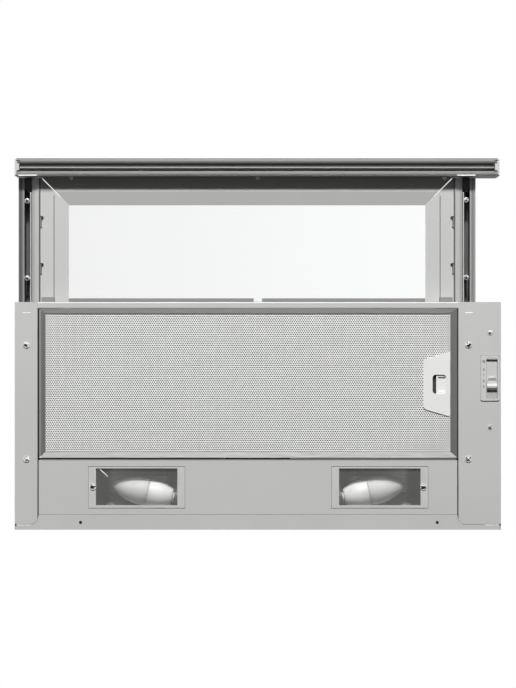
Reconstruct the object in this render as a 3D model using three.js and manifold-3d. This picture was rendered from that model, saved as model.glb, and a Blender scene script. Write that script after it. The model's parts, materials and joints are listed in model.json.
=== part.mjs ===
// Pull-out range hood, seen in use from below with its glass visor drawn out.
// Millimetres. +X right and -Y forward for someone standing in front of it, +Z up.
// The origin lies on the wall plane, midway across, level with the cabinet's underside:
// the slim tray hangs below z = 0, and the blower housing stands above it in the cabinet.
import * as THREE from 'three';
import { mergeVertices } from 'three/addons/utils/BufferGeometryUtils.js';
import Module from 'manifold-3d';

const wasm = await Module();
wasm.setup();

// ---------------------------------------------------------------- driving dimensions

const hoodWidth = 598; // tray and handle bar, over all
const hoodDepth = 280; // wall to the front of the tray
const trayHeight = 41;
const sheet = 1; // folded steel sheet
const seat = 0.3; // gap between pieces that are screwed, hooked or dropped together
const running = 0.6; // gap beside a piece that slides or turns

// underside of the tray
const leftFlange = 28; // from the left side wall to the filter bay
const rightFlange = 52.3; // from the filter bay to the right side wall
const bayGap = 1.5; // shadow gap between the flanges and what fills the bay
const lipHeight = 4; // upturned edge of the flanges
const rearFlange = 18.5;
const flangeReveal = 6.4; // the side flanges stop short of the wall by this much
const flangeCorner = 5.4; // cut off the side flanges' inner rear corners
const flangeJoint = 0.45; // between the side flanges and the rear one
const crossbarDepth = 7.5;
const crossbarHeight = 10;
const lampPanelDepth = 67;
const wallUpstand = 12; // the tray's rear wall, above the cabinet's underside
const airwayMargin = 38; // left side wall to the opening in the tray's top
const drainSlot = { width: 10.4, length: 1.3, fromFront: 13.1, fromLeft: 14.5, fromRight: 39.6 };

// glass visor, drawn out by its whole travel
const visorPark = 125.2; // room kept for the lamps behind the visor when it is pushed in
const switchBay = 28.7; // room for the switch, right of the visor
const visorSideGap = 2.1; // left of the visor
const visorRest = 0.4; // the bar stops this far in front of the tray when pushed in
const barDepth = 21.9;
const barInset = 1.8; // the bar stops short of the tray's right side by this much
const barTop = -1;
const capThickness = 2;
const memberWidth = 34.6; // mitred frame members, from outer edge to glass
const memberRidge = 17.6; // outer edge to the fold between the two facets
const memberSheet = 1.2;
const memberRise = 3; // the inner facet climbs this much to the glass
const memberWall = 16; // upturned outer edge
const mitreGap = 0.9; // at the outer part of each mitre
const mitreOuterPart = 24;
const lancedTab = { length: 15, depth: 3.9, fromFront: [48.8, 106.8], bridge: 1.5 };
const glassThickness = 4;
const glassOverlap = 6;
const rearRailDepth = 20;
const notchWidth = 10.3;
const notchDepth = 4.3;
const memberEnd = 6; // the outer facets stop this far in front of the tray

// telescopic rails
const railWidth = 25.8;
const railSheet = 1.2;
const railGroove = 9.4; // open groove seen from below
const railGrooveOut = 1.1; // the groove sits this far outward of the rail's middle
const railSetback = 0.9; // the rails start this far behind the visor's front
const railShortfall = 10; // the rails are this much shorter than the tray is deep
const ballRadius = 2;
const ballPitch = 24;
const ballCount = 4;
const cageSheet = 1.2;
const raceDepth = 0.35;
const ballClearance = 0.15;

// grease filter
const filterHeight = 9.2;
const bevelFront = 6.1;
const bevelRear = 7.1;
const bevelLeft = 7.4;
const bevelRight = 8;
const bevelRise = 3.5;
const frameWall = 1.2;
const meshSheet = 0.6;
const hookWidth = 14;
const hookFromEnd = 27;

// filter latch and the handle plate below it
const latchForward = -1.6; // the latch sits this far in front of the filter's middle
const latchHalf = 25;
const latchDepth = 37.5;
const latchWall = 1.2;
const handlePlate = { depth: 41.3, wide: 39.8, slim: 31.8, corner: 6, taper: 78 };
const fingerWindow = { near: 13.1, far: 30, half: 11.8, corner: 4 };
const fingerPad = { depth: 24.1, half: 14, wingHalf: 22 };
const springWire = 0.35;
const springRadius = 1.1;
const springTurns = 5;

// lamps
const lampPitch = 299; // between the two lamp windows' centres
const lampShift = 0.5; // the pair sits this far right of the hood's middle
const lampWindow = { length: 100.2, fromPanelFront: 10.1, fromPanelRear: 11.6 };
const lampCover = { ends: 9.05, front: 1.9, rear: 3.2, thickness: 0.5 };
const lensThickness = 2;
const bulbTip = { out: 32.3, forward: 1.25 }; // from the middle of the lamp window
const bulbLength = 98;
const bulbRadius = 18;
const bulbTilt = THREE.MathUtils.degToRad(11.8);
const holderRadius = 13.5;

// slide switch
const switchPlate = { fromRight: 13.5, width: 22.4, fromFront: 66, length: 55.3, thickness: 1 };
const switchSlot = { fromRight: 11.1, width: 13.8, fromFront: 68.8, length: 50.5 };
const knobLength = 17.6;
const knobFromRear = 9.8;
const knobTravel = 21;
const switchEars = { front: 36, rear: 39, height: 4 }; // from the slot's ends

// blower housing, above the tray
const housingInset = 36; // tray side to housing side
const housingFrontInset = 16; // tray front to housing front
const housingHeight = 132;
const housingBack = 2; // wall to the housing's rear
const footReach = 10;
const bracketReach = 21; // housing side to the inside of a 600 mm cabinet
const bracketWidth = 50;
const bracketSheet = 1.5;
const bracketBottom = 30;
const bracketTop = 100;
const bracketTab = 14;
const bracketSlot = { length: 14, height: 4.6, fromEnd: 16 };

// electrics, hung from the housing's roof
const glandRadius = 8;
const gland = { fromSide: 63, fromRear: 58 };
const terminalBox = { half: 28, front: 26, rear: 30, height: 42, wall: 2 };
const capacitor = { fromBox: 22, forward: 4, radius: 14, height: 50 };

// blower
const blowerForward = 17; // the blower sits this far in front of the housing's middle
const blowerHeight = 60;
const blowerWidth = 120;
const impellerRadius = 42;
const impellerHub = 8;
const impellerEndGap = 6;
const bladeCount = 26;
const bladeChord = 8;
const bladeSheet = 1;
const cutoffGap = 3.5; // impeller to the scroll's tongue
const scrollGrowth = 17; // how much the scroll opens from tongue to outlet
const scrollWall = 2;
const tongueAngle = THREE.MathUtils.degToRad(65);
const outletFlare = 30; // the outlet's front wall leans forward by this much
const inletRadius = 33;
const ledgeReach = 12;
const motorRadius = 36;
const motorLength = 58;
const motorStandoff = 10;
const legRadius = 45;
const bossRadius = 4.5;
const bossHeight = 8;
const shaftRadius = 3;

// duct collar
const collarRadius = 60; // fits a 120 mm duct
const collarWall = 2;
const collarHeight = 30;
const collarFlange = 72;
const flangeThickness = 2.5;
const collarRearward = 24; // from the blower's axis
const flapSheet = 1.2;
const flapAxisOffset = 3.2;
const flapPin = 1.4;

// ---------------------------------------------------------------- finishes

const paint = { roughness: 0.45, metalness: 0.3 };
const plastic = { roughness: 0.5, metalness: 0 };
const finishes = {
  greyPaint: new THREE.MeshStandardMaterial({ color: 0xbfbfbd, ...paint }),
  lightPaint: new THREE.MeshStandardMaterial({ color: 0xe3e3e2, roughness: 0.4, metalness: 0.2 }),
  zincSteel: new THREE.MeshStandardMaterial({ color: 0xa8a9a8, roughness: 0.35, metalness: 0.9 }),
  aluminium: new THREE.MeshStandardMaterial({ color: 0xc2c3c1, roughness: 0.3, metalness: 0.9 }),
  filterMesh: new THREE.MeshStandardMaterial({ color: 0xc8c8c6, roughness: 0.4, metalness: 0.9 }),
  glass: new THREE.MeshStandardMaterial({ color: 0xeef2f1, roughness: 0.05, metalness: 0 }),
  opalGlass: new THREE.MeshStandardMaterial({ color: 0xbdbdbd, roughness: 0.4, metalness: 0 }),
  whitePlastic: new THREE.MeshStandardMaterial({ color: 0xe8e8e6, ...plastic }),
  greyPlastic: new THREE.MeshStandardMaterial({ color: 0xc4c4c2, ...plastic }),
  blackPlastic: new THREE.MeshStandardMaterial({ color: 0x2a2a2a, ...plastic }),
};

// ---------------------------------------------------------------- solid helpers

function solid(geometry) {
  const bare = geometry.clone();
  bare.deleteAttribute('normal');
  bare.deleteAttribute('uv');
  const merged = mergeVertices(bare, 1e-4);
  const mesh = new wasm.Mesh({
    numProp: 3,
    vertProperties: new Float32Array(merged.attributes.position.array),
    triVerts: new Uint32Array(merged.index.array),
  });
  return new wasm.Manifold(mesh);
}

function toGeometry(body) {
  const mesh = body.getMesh();
  const geometry = new THREE.BufferGeometry();
  geometry.setAttribute('position', new THREE.BufferAttribute(mesh.vertProperties, 3));
  geometry.setIndex(new THREE.BufferAttribute(mesh.triVerts, 1));
  geometry.computeVertexNormals();
  return geometry;
}

function fromTriangles(positions, index) {
  const geometry = new THREE.BufferGeometry();
  geometry.setAttribute('position', new THREE.Float32BufferAttribute(positions, 3));
  geometry.setIndex(index);
  return solid(geometry);
}

function union(bodies) {
  return bodies.reduce((sum, body) => sum.add(body));
}

// Outlines are lists of [u, v] pairs.
function shapeOf(outline) {
  return new THREE.Shape(outline.map(([u, v]) => new THREE.Vector2(u, v)));
}

function extrude(shape, length, basis, start) {
  const geometry = new THREE.ExtrudeGeometry(shape, { depth: length, bevelEnabled: false, steps: 1 });
  geometry.applyMatrix4(new THREE.Matrix4().makeBasis(...basis).setPosition(start));
  return solid(geometry);
}

const unit = {
  x: new THREE.Vector3(1, 0, 0),
  y: new THREE.Vector3(0, 1, 0),
  z: new THREE.Vector3(0, 0, 1),
};

// A profile drawn in (y, z), run along X. The two ends may come in either order.
function alongX(outline, x0, x1) {
  const shape = outline instanceof THREE.Shape ? outline : shapeOf(outline);
  const start = new THREE.Vector3(Math.min(x0, x1), 0, 0);
  return extrude(shape, Math.abs(x1 - x0), [unit.y, unit.z, unit.x], start);
}

// A profile drawn in (x, z), run along Y. The sketch is turned, so it is drawn as (z, x).
function alongY(outline, y0, y1) {
  const sketch = outline.map(([x, z]) => [z, x]);
  return extrude(shapeOf(sketch), y1 - y0, [unit.z, unit.x, unit.y], new THREE.Vector3(0, y0, 0));
}

// An outline drawn in (x, y), run along Z.
function alongZ(outline, z0, z1) {
  const start = new THREE.Vector3(0, 0, z0);
  return extrude(shapeOf(outline), z1 - z0, [unit.x, unit.y, unit.z], start);
}

// Opposite faces may come in either order, so mirrored pieces need no sorting.
function block(x0, x1, y0, y1, z0, z1) {
  const size = [x1 - x0, y1 - y0, z1 - z0].map(Math.abs);
  const geometry = new THREE.BoxGeometry(...size);
  geometry.translate((x0 + x1) / 2, (y0 + y1) / 2, (z0 + z1) / 2);
  return solid(geometry);
}

// A revolved profile of [radius, height] pairs, closed on itself or starting and ending on the axis.
function turned(profile, segments, direction, base) {
  const points = profile.map(([r, h]) => new THREE.Vector2(r, h));
  const geometry = new THREE.LatheGeometry(points, segments);
  const turn = new THREE.Quaternion().setFromUnitVectors(unit.y, direction);
  geometry.applyQuaternion(turn);
  geometry.translate(base.x, base.y, base.z);
  return solid(geometry);
}

function rod(radius, from, to, segments) {
  const length = from.distanceTo(to);
  const direction = to.clone().sub(from).normalize();
  return turned([[0, 0], [radius, 0], [radius, length], [0, length]], segments, direction, from);
}

// Corner points of a rectangle with rounded corners.
function roundedRectangle(x0, x1, y0, y1, radius, steps = 4) {
  const corners = [
    [x1 - radius, y0 + radius, -Math.PI / 2],
    [x1 - radius, y1 - radius, 0],
    [x0 + radius, y1 - radius, Math.PI / 2],
    [x0 + radius, y0 + radius, Math.PI],
  ];
  const points = [];
  for (const [cx, cy, start] of corners) {
    for (let i = 0; i <= steps; i += 1) {
      const angle = start + (Math.PI / 2) * (i / steps);
      points.push([cx + radius * Math.cos(angle), cy + radius * Math.sin(angle)]);
    }
  }
  return points;
}

// A solid lofted through rectangles { x0, x1, y0, y1, z } stacked upwards.
function stackedLoft(levels) {
  const positions = [];
  const index = [];
  for (const { x0, x1, y0, y1, z } of levels) {
    positions.push(x0, y0, z, x1, y0, z, x1, y1, z, x0, y1, z);
  }
  for (let level = 0; level + 1 < levels.length; level += 1) {
    for (let side = 0; side < 4; side += 1) {
      const a = level * 4 + side;
      const b = level * 4 + ((side + 1) % 4);
      index.push(a, b, b + 4, a, b + 4, a + 4);
    }
  }
  const top = (levels.length - 1) * 4;
  index.push(0, 2, 1, 0, 3, 2, top, top + 1, top + 2, top, top + 2, top + 3);
  return fromTriangles(positions, index);
}

// A frame whose four sides share one folded profile, drawn as points of
// { left, right, front, rear, z } insets from the outer rectangle.
function rectangularRing(outer, profile) {
  const positions = [];
  const index = [];
  const count = profile.length;
  for (const { left: fromLeft, right: fromRight, front: fromFront, rear: fromRear, z } of profile) {
    const x0 = outer.x0 + fromLeft;
    const x1 = outer.x1 - fromRight;
    const y0 = outer.y0 + fromFront;
    const y1 = outer.y1 - fromRear;
    positions.push(x0, y0, z, x1, y0, z, x1, y1, z, x0, y1, z);
  }
  for (let i = 0; i < count; i += 1) {
    const next = (i + 1) % count;
    for (let side = 0; side < 4; side += 1) {
      const a = i * 4 + side;
      const b = i * 4 + ((side + 1) % 4);
      const c = next * 4 + ((side + 1) % 4);
      const d = next * 4 + side;
      index.push(a, c, b, a, d, c);
    }
  }
  return fromTriangles(positions, index);
}

// A round-wire coil along X, one unbroken tube with flat ends.
function coil(start, endX, radius, wire, turns) {
  const steps = turns * 6;
  const wireSides = 4;
  const positions = [];
  const index = [];
  for (let i = 0; i <= steps; i += 1) {
    const angle = (2 * Math.PI * turns * i) / steps;
    const outward = new THREE.Vector3(0, Math.cos(angle), Math.sin(angle));
    const centre = new THREE.Vector3(THREE.MathUtils.lerp(start.x, endX, i / steps), start.y, start.z);
    centre.addScaledVector(outward, radius);
    for (let k = 0; k < wireSides; k += 1) {
      const turn = (2 * Math.PI * k) / wireSides;
      const point = centre.clone();
      point.addScaledVector(outward, wire * Math.cos(turn));
      point.addScaledVector(unit.x, wire * Math.sin(turn));
      positions.push(point.x, point.y, point.z);
    }
  }
  for (let i = 0; i < steps; i += 1) {
    for (let k = 0; k < wireSides; k += 1) {
      const a = i * wireSides + k;
      const b = i * wireSides + ((k + 1) % wireSides);
      index.push(a, b + wireSides, b, a, a + wireSides, b + wireSides);
    }
  }
  const last = steps * wireSides;
  for (let k = 1; k + 1 < wireSides; k += 1) {
    index.push(0, k, k + 1, last, last + k + 1, last + k);
  }
  return fromTriangles(positions, index);
}

const hood = new THREE.Group();

function add(name, body, material) {
  const mesh = new THREE.Mesh(toGeometry(body), material);
  mesh.name = name;
  hood.add(mesh);
}

// ---------------------------------------------------------------- places that pieces share

const left = -hoodWidth / 2;
const right = hoodWidth / 2;
const front = -hoodDepth;
const bottom = -trayHeight;
const bay = { x0: left + leftFlange, x1: right - rightFlange };
const lipTop = bottom + lipHeight;
const crossbarRear = front + crossbarDepth;
const lampPanelRear = -rearFlange;
const lampPanelFront = lampPanelRear - lampPanelDepth;
const lampFront = lampPanelFront + lampWindow.fromPanelFront;
const lampRear = lampPanelRear - lampWindow.fromPanelRear;

const visorTravel = hoodDepth - visorPark;
const visorWidth = hoodWidth - 2 * sheet - visorSideGap - switchBay;
const visorX = left + sheet + visorSideGap + visorWidth / 2;
const barBack = front - visorRest - visorTravel;
const barFront = barBack - barDepth;
const visorFront = barBack + seat;
const frameHalf = visorWidth / 2 - railWidth - railSheet;
const glassHalf = frameHalf - memberWidth;
const railOffset = (visorWidth - railWidth) / 2;
const wingBottom = bottom + crossbarHeight + 3.8;
const wingTop = wingBottom + railSheet;
const facetBottom = wingBottom + 0.7;
const facetTop = facetBottom + memberSheet;
const glassBottom = facetTop + memberRise + seat;
const glassFront = visorFront + memberWidth - glassOverlap;
const rearRailFront = front - 5;
const rearRailRear = rearRailFront + rearRailDepth;

const housingHalf = hoodWidth / 2 - housingInset;
const housingRear = -housingBack;
const housingFront = front + housingFrontInset;
const housingMiddle = (housingRear + housingFront) / 2;
const housingRoof = housingHeight - sheet;
const blowerY = housingMiddle - blowerForward;
const collarY = blowerY + collarRearward;
const glandX = housingHalf - gland.fromSide;
const glandY = housingRear - gland.fromRear;

const sides = [
  { name: 'left', sign: -1 },
  { name: 'right', sign: 1 },
];

// ---------------------------------------------------------------- tray

function buildTray() {
  const airwayLeft = left + airwayMargin;
  const rearWall = block(left, right, -sheet, 0, bottom, wallUpstand);
  const topSheet = block(left, right, front, -sheet, -sheet, 0);
  const airway = block(airwayLeft, bay.x1 - 6, front + 22, -12, -sheet - 1, 1);
  const frontLip = block(airwayLeft, bay.x1 - 8, front, front + sheet, -7, -sheet / 2);
  const flangeEnd = right - sheet - seat;
  const flange = alongZ([
    [-flangeEnd, -sheet / 2],
    [flangeEnd, -sheet / 2],
    [flangeEnd, -flangeReveal],
    [bay.x1 + flangeCorner, -flangeReveal],
    [bay.x1, -flangeReveal - flangeCorner],
    [bay.x1 - bayGap, lampPanelRear],
    [bay.x0 + bayGap, lampPanelRear],
    [bay.x0, -flangeReveal - flangeCorner],
    [bay.x0 - flangeCorner, -flangeReveal],
    [-flangeEnd, -flangeReveal],
  ], bottom, bottom + sheet);
  const shelfZ = bottom + sheet;
  const shelfFront = lampPanelRear - 2;
  const lampShelf = block(bay.x0 + 8, bay.x1 - 8, shelfFront, shelfFront + 6, shelfZ, shelfZ + sheet);
  const tray = union([rearWall, topSheet.subtract(airway), frontLip, flange, lampShelf]);
  add('tray_top', tray, finishes.greyPaint);

  for (const { name, sign } of sides) {
    add(`side_channel_${name}`, sideChannel(sign), finishes.greyPaint);
  }
  buildCrossbar();
}

// Side wall, return under the top sheet, wide flange below and the bay's upturned lip.
function sideChannel(sign) {
  const outer = sign * right;
  const inner = sign < 0 ? bay.x0 : bay.x1;
  const rear = -sheet - seat;
  const flangeRear = -flangeReveal - flangeJoint;
  const wall = block(outer, outer - sign * sheet, front, rear, bottom, -sheet);
  const returnReach = sheet + visorSideGap + railWidth / 2 - railGrooveOut - channelHalf - seat;
  const topReturn = block(outer, outer - sign * returnReach, front, rear, -2 * sheet, -sheet);
  const flange = alongZ([
    [outer, front],
    [inner, front],
    [inner, flangeRear - flangeCorner],
    [inner + sign * flangeCorner, flangeRear],
    [outer, flangeRear],
  ], bottom, bottom + sheet);
  const lip = block(inner, inner + sign * sheet, front, -flangeReveal - 7, bottom, lipTop);

  const slotX = outer - sign * (sign < 0 ? drainSlot.fromLeft : drainSlot.fromRight);
  const slotY = front + drainSlot.fromFront;
  const slot = block(
    slotX - drainSlot.width / 2,
    slotX + drainSlot.width / 2,
    slotY - drainSlot.length / 2,
    slotY + drainSlot.length / 2,
    bottom - 1,
    bottom + 2 * sheet,
  );
  const channel = union([wall, topReturn, flange, lip]).subtract(slot);
  if (sign < 0) {
    return channel;
  }
  const cut = switchOpening();
  const hole = block(cut.x0 - 1, cut.x1 + 1, cut.y0 - 1, cut.y1 + 1, bottom - 1, bottom + 2 * sheet);
  return channel.subtract(hole);
}

// Folded channel whose lower edges are chamfered and whose rear edge is hemmed in.
function buildCrossbar() {
  const top = bottom + crossbarHeight;
  const bend = 1.2;
  const hem = 0.4;
  const rear = crossbarRear;
  const section = [
    [front, bottom + bend],
    [front + bend, bottom],
    [rear - hem, bottom],
    [rear, bottom + hem],
    [rear, bottom + 2 * bend],
    [rear - 2, bottom + sheet],
    [front + bend + 0.6, bottom + sheet],
    [front + sheet, bottom + bend + 0.6],
    [front + sheet, top - sheet],
    [rear - 1.5, top - sheet],
    [rear - 1.5, top],
    [front, top],
  ];
  add('front_crossbar', alongX(section, bay.x0, bay.x1), finishes.greyPaint);
}

// ---------------------------------------------------------------- lamp panel and lamps

const lampMiddle = (sign) => lampShift + (sign * lampPitch) / 2;

function buildLampPanel() {
  const x0 = bay.x0 + bayGap;
  const x1 = bay.x1 - bayGap;
  const y0 = lampPanelFront;
  const y1 = lampPanelRear - seat;
  const tabZ = lipTop + seat;
  const tabWidth = 12;
  const pieces = [
    block(x0, x1, y0, y1, bottom, bottom + sheet),
    block(x0, x1, y0, y0 + sheet, bottom, bottom + crossbarHeight),
  ];
  for (const { sign } of sides) {
    const edge = sign < 0 ? x0 : x1;
    const inward = edge - sign * sheet;
    const outward = edge + sign * (bayGap + 2);
    pieces.push(block(edge, inward, y0, y1 - 8, bottom, tabZ + sheet));
    for (const tabY of [y0 + 14, y1 - 26]) {
      pieces.push(block(inward, outward, tabY, tabY + tabWidth, tabZ, tabZ + sheet));
    }
  }
  const half = lampWindow.length / 2 + 1.2;
  const windows = sides.map(({ sign }) => {
    const x = lampMiddle(sign);
    return block(x - half, x + half, lampFront - 1, lampRear + 1.2, bottom - 1, bottom + 2 * sheet);
  });
  add('lamp_panel', union(pieces).subtract(union(windows)), finishes.greyPaint);
}

// The lamp's trough: steep below, leaning in to a narrow roof above the bulb.
function lampTrough(sign, wall, openBelow) {
  const rim = bottom + sheet;
  const shoulder = rim + 28;
  const roof = rim + 44;
  const roofLean = 12.6;
  const half = lampWindow.length / 2 + 1;
  const low = { front: lampFront - 1.6, rear: lampRear + 6.1 };
  const high = { front: lampFront + roofLean, rear: lampRear - roofLean };
  const outer = lampMiddle(sign) + sign * half;
  const inner = lampMiddle(sign) - sign * half;
  const level = (z, across, leanOut, leanIn) => {
    const ends = [outer - sign * (leanOut - wall), inner + sign * (leanIn - wall)];
    return {
      x0: Math.min(...ends),
      x1: Math.max(...ends),
      y0: across.front - wall,
      y1: across.rear + wall,
      z,
    };
  };
  return stackedLoft([
    level(rim - openBelow, low, 0, 0),
    level(rim + 3, low, 0, 0),
    level(shoulder, low, 8.8, 9.9),
    level(roof + wall, high, 13.8, 15.6),
  ]);
}

function buildLamp({ name, sign }) {
  const cx = lampMiddle(sign);
  const half = lampWindow.length / 2;
  const rim = bottom + sheet;

  // cover frame and its clear lens
  const cover = lampCover;
  const coverHalf = half + cover.ends;
  const coverBottom = bottom - cover.thickness;
  const frame = block(
    cx - coverHalf, cx + coverHalf, lampFront - cover.front, lampRear + cover.rear, coverBottom, bottom,
  );
  const windowCut = block(cx - half, cx + half, lampFront, lampRear, coverBottom - 1, bottom + 1);
  add(`lamp_cover_${name}`, frame.subtract(windowCut), finishes.zincSteel);
  const lens = block(
    cx - half - 0.8, cx + half + 0.8, lampFront - 0.6, lampRear + 0.8, bottom, bottom + lensThickness,
  );
  add(`lamp_lens_${name}`, lens, finishes.glass);

  // bulb axis: tip outward and forward, cap inward and towards the wall
  const direction = new THREE.Vector3(-sign * Math.cos(bulbTilt), Math.sin(bulbTilt), 0);
  const tip = new THREE.Vector3(
    cx + sign * bulbTip.out,
    (lampFront + lampRear) / 2 - bulbTip.forward,
    bottom + lensThickness + bulbRadius + 1,
  );
  const along = (distance) => tip.clone().addScaledVector(direction, distance);
  const collarStart = 46;
  const collarEnd = 77;
  const capRadius = 7;
  const rings = 10;

  const glassProfile = [[0, 0]];
  for (let i = 1; i <= rings; i += 1) {
    const t = i / rings;
    const swell = Math.sin((t * Math.PI) / 2) ** 0.8;
    glassProfile.push([bulbRadius * swell, (collarStart - seat) * t ** 1.25]);
  }
  glassProfile.push([0, collarStart - seat]);
  add(`bulb_glass_${name}`, turned(glassProfile, 16, direction, tip), finishes.opalGlass);

  const collarProfile = [
    [0, collarStart],
    [bulbRadius - 0.4, collarStart],
    [bulbRadius - 0.6, collarStart + 12],
    [bulbRadius - 2.5, collarStart + 21],
    [bulbRadius - 6, collarEnd - 2],
    [capRadius + 2, collarEnd],
    [capRadius, collarEnd],
    [capRadius, bulbLength - 3],
    [capRadius - 3, bulbLength],
    [0, bulbLength],
  ];
  add(`bulb_base_${name}`, turned(collarProfile, 16, direction, tip), finishes.whitePlastic);

  // trough with a flange round its rim and a hole in its inner end for the bulb's neck
  const flangeHalf = half + 4;
  const flangeFront = lampFront - 3.6;
  const flangeRear = lampRear + 9.1;
  const flange = block(cx - flangeHalf, cx + flangeHalf, flangeFront, flangeRear, rim, rim + sheet);
  const neck = rod(bulbRadius - 1.5, along(collarEnd - 14), along(collarEnd + 40), 24);
  const shell = lampTrough(sign, sheet, 0).add(flange);
  const trough = shell.subtract(lampTrough(sign, 0, 2 * sheet)).subtract(neck);
  add(`lamp_trough_${name}`, trough, finishes.greyPaint);

  // lampholder: a cup on a foot that stands on the panel
  const cup = rod(holderRadius, along(collarEnd + 2), along(collarEnd + 26), 20);
  const bore = rod(capRadius + 0.8, along(collarEnd - 2), along(bulbLength + 1), 20);
  const footAt = along(collarEnd + 19);
  const footTop = footAt.z - holderRadius + 5;
  const foot = block(footAt.x - 6, footAt.x + 6, footAt.y - 9, footAt.y + 7, rim, footTop);
  add(`lamp_holder_${name}`, cup.add(foot).subtract(bore), finishes.whitePlastic);
}

// ---------------------------------------------------------------- slide switch

// The opening in the plate, as a rectangle in plan.
function switchOpening() {
  const x = right - switchSlot.fromRight;
  const y = front + switchSlot.fromFront;
  return { x, x0: x - switchSlot.width / 2, x1: x + switchSlot.width / 2, y0: y, y1: y + switchSlot.length };
}

function buildSwitch() {
  const cut = switchOpening();
  const face = bottom - switchPlate.thickness;
  const plate = {
    x: right - switchPlate.fromRight,
    half: switchPlate.width / 2,
    y0: front + switchPlate.fromFront,
  };
  const outline = roundedRectangle(
    plate.x - plate.half, plate.x + plate.half, plate.y0, plate.y0 + switchPlate.length, 2,
  );
  const opening = roundedRectangle(cut.x0, cut.x1, cut.y0, cut.y1, 1.2);
  const bezel = alongZ(outline, face, bottom).subtract(alongZ(opening, face - 1, bottom + 1));
  add('switch_plate', bezel, finishes.greyPlastic);

  // body: a block in the tray with ears for its screws, a recess for the shutter strip that
  // closes the slot wherever the knob stands, and a channel for the stem
  const stemHalf = 2;
  const groove = stemHalf + running;
  const shutter = { y0: cut.y0 - 0.8, y1: cut.y1 + knobTravel + 0.8, z0: bottom + 1.4, z1: bottom + 1.9 };
  const recessEnd = knobTravel + 1.4;
  const x0 = cut.x - 10.5;
  const x1 = cut.x + 8.5;
  const base = bottom + sheet;
  const ears = block(
    x0, x1, cut.y0 - switchEars.front, cut.y1 + switchEars.rear, base, base + switchEars.height,
  );
  const body = block(x0, x1, cut.y0 - recessEnd - 3, cut.y1 + recessEnd + 3, base, bottom + 17);
  const channel = block(cut.x - groove, cut.x + groove, cut.y0 + 3, cut.y1 - 3, bottom, bottom + 10);
  const recess = block(cut.x0, cut.x1, cut.y0 - recessEnd, cut.y1 + recessEnd, bottom, bottom + 2.2);
  add('switch_body', ears.add(body).subtract(channel).subtract(recess), finishes.blackPlastic);

  // knob: a low pad, round in front, with a thumb ridge across its rear, on the shutter strip,
  // and a stem up into the body
  const knobRear = cut.y1 - knobFromRear;
  const knobFront = knobRear - knobLength;
  const padHalf = switchSlot.width / 2 - running;
  const padTop = shutter.z0 + 0.1;
  const profile = [
    [knobFront, padTop],
    [knobFront, face + 0.2],
    [knobFront + 1, face - 0.3],
    [knobFront + 5, face + 0.9],
    [knobFront + 8.5, face + 0.5],
    [knobRear - 6.4, face - 1.6],
    [knobRear - 4.4, face - 1.6],
    [knobRear - 1.5, face + 0.1],
    [knobRear, face + 1.2],
    [knobRear, padTop],
  ];
  const padCorner = knobRear - 1.6;
  const padOutline = [[cut.x + padHalf, padCorner], [cut.x, knobRear], [cut.x - padHalf, padCorner]];
  for (let i = 0; i <= 8; i += 1) {
    const angle = Math.PI + (Math.PI * i) / 8;
    padOutline.push([
      cut.x + padHalf * Math.cos(angle),
      knobFront + padHalf + padHalf * Math.sin(angle),
    ]);
  }
  const pad = alongX(profile, cut.x - padHalf, cut.x + padHalf)
    .intersect(alongZ(padOutline, face - 3, bottom + 3));
  const strip = block(cut.x - padHalf, cut.x + padHalf, shutter.y0, shutter.y1, shutter.z0, shutter.z1);
  const stemY = (knobFront + knobRear) / 2;
  const stem = block(cut.x - stemHalf, cut.x + stemHalf, stemY - 3, stemY + 3, bottom + 1.5, bottom + 9);
  add('switch_knob', union([pad, strip, stem]), finishes.greyPlastic);
}

// ---------------------------------------------------------------- telescopic rails

const grooveHalf = railGroove / 2;
const neckHalf = grooveHalf + railSheet;
const innerWing = railWidth / 2 + railGrooveOut;
const outerWing = railWidth / 2 - railGrooveOut;
const railFront = visorFront + railSetback;
const ballCentre = neckHalf + ballRadius - raceDepth + ballClearance;
const channelInner = ballCentre + ballRadius - raceDepth + ballClearance;
const channelHalf = channelInner + railSheet;
const channelTop = -sheet;
const channelFloor = channelTop - railSheet;
const ballHeight = (wingTop + channelTop) / 2;
const bridgeTop = channelFloor - running;
const neckTop = bridgeTop - cageSheet - running;
const railLength = hoodDepth - railShortfall;
const fixedRailFront = front + 4;

// Both races are shallow grooves: negative depth bulges out of the neck's side.
function race(u, depth) {
  return [
    [u, ballHeight - 1.4],
    [u + depth, ballHeight - 0.6],
    [u + depth, ballHeight + 0.6],
    [u, ballHeight + 1.4],
  ];
}

// A section about the rail's groove, from the outline of its right half and the mirror image
// of its left half.
function bothHalves(x, rightHalf, mirrored = rightHalf) {
  const leftHalf = mirrored.map(([u, z]) => [-u, z]).reverse();
  return [...rightHalf, ...leftHalf].map(([u, z]) => [x + u, z]);
}

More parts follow.
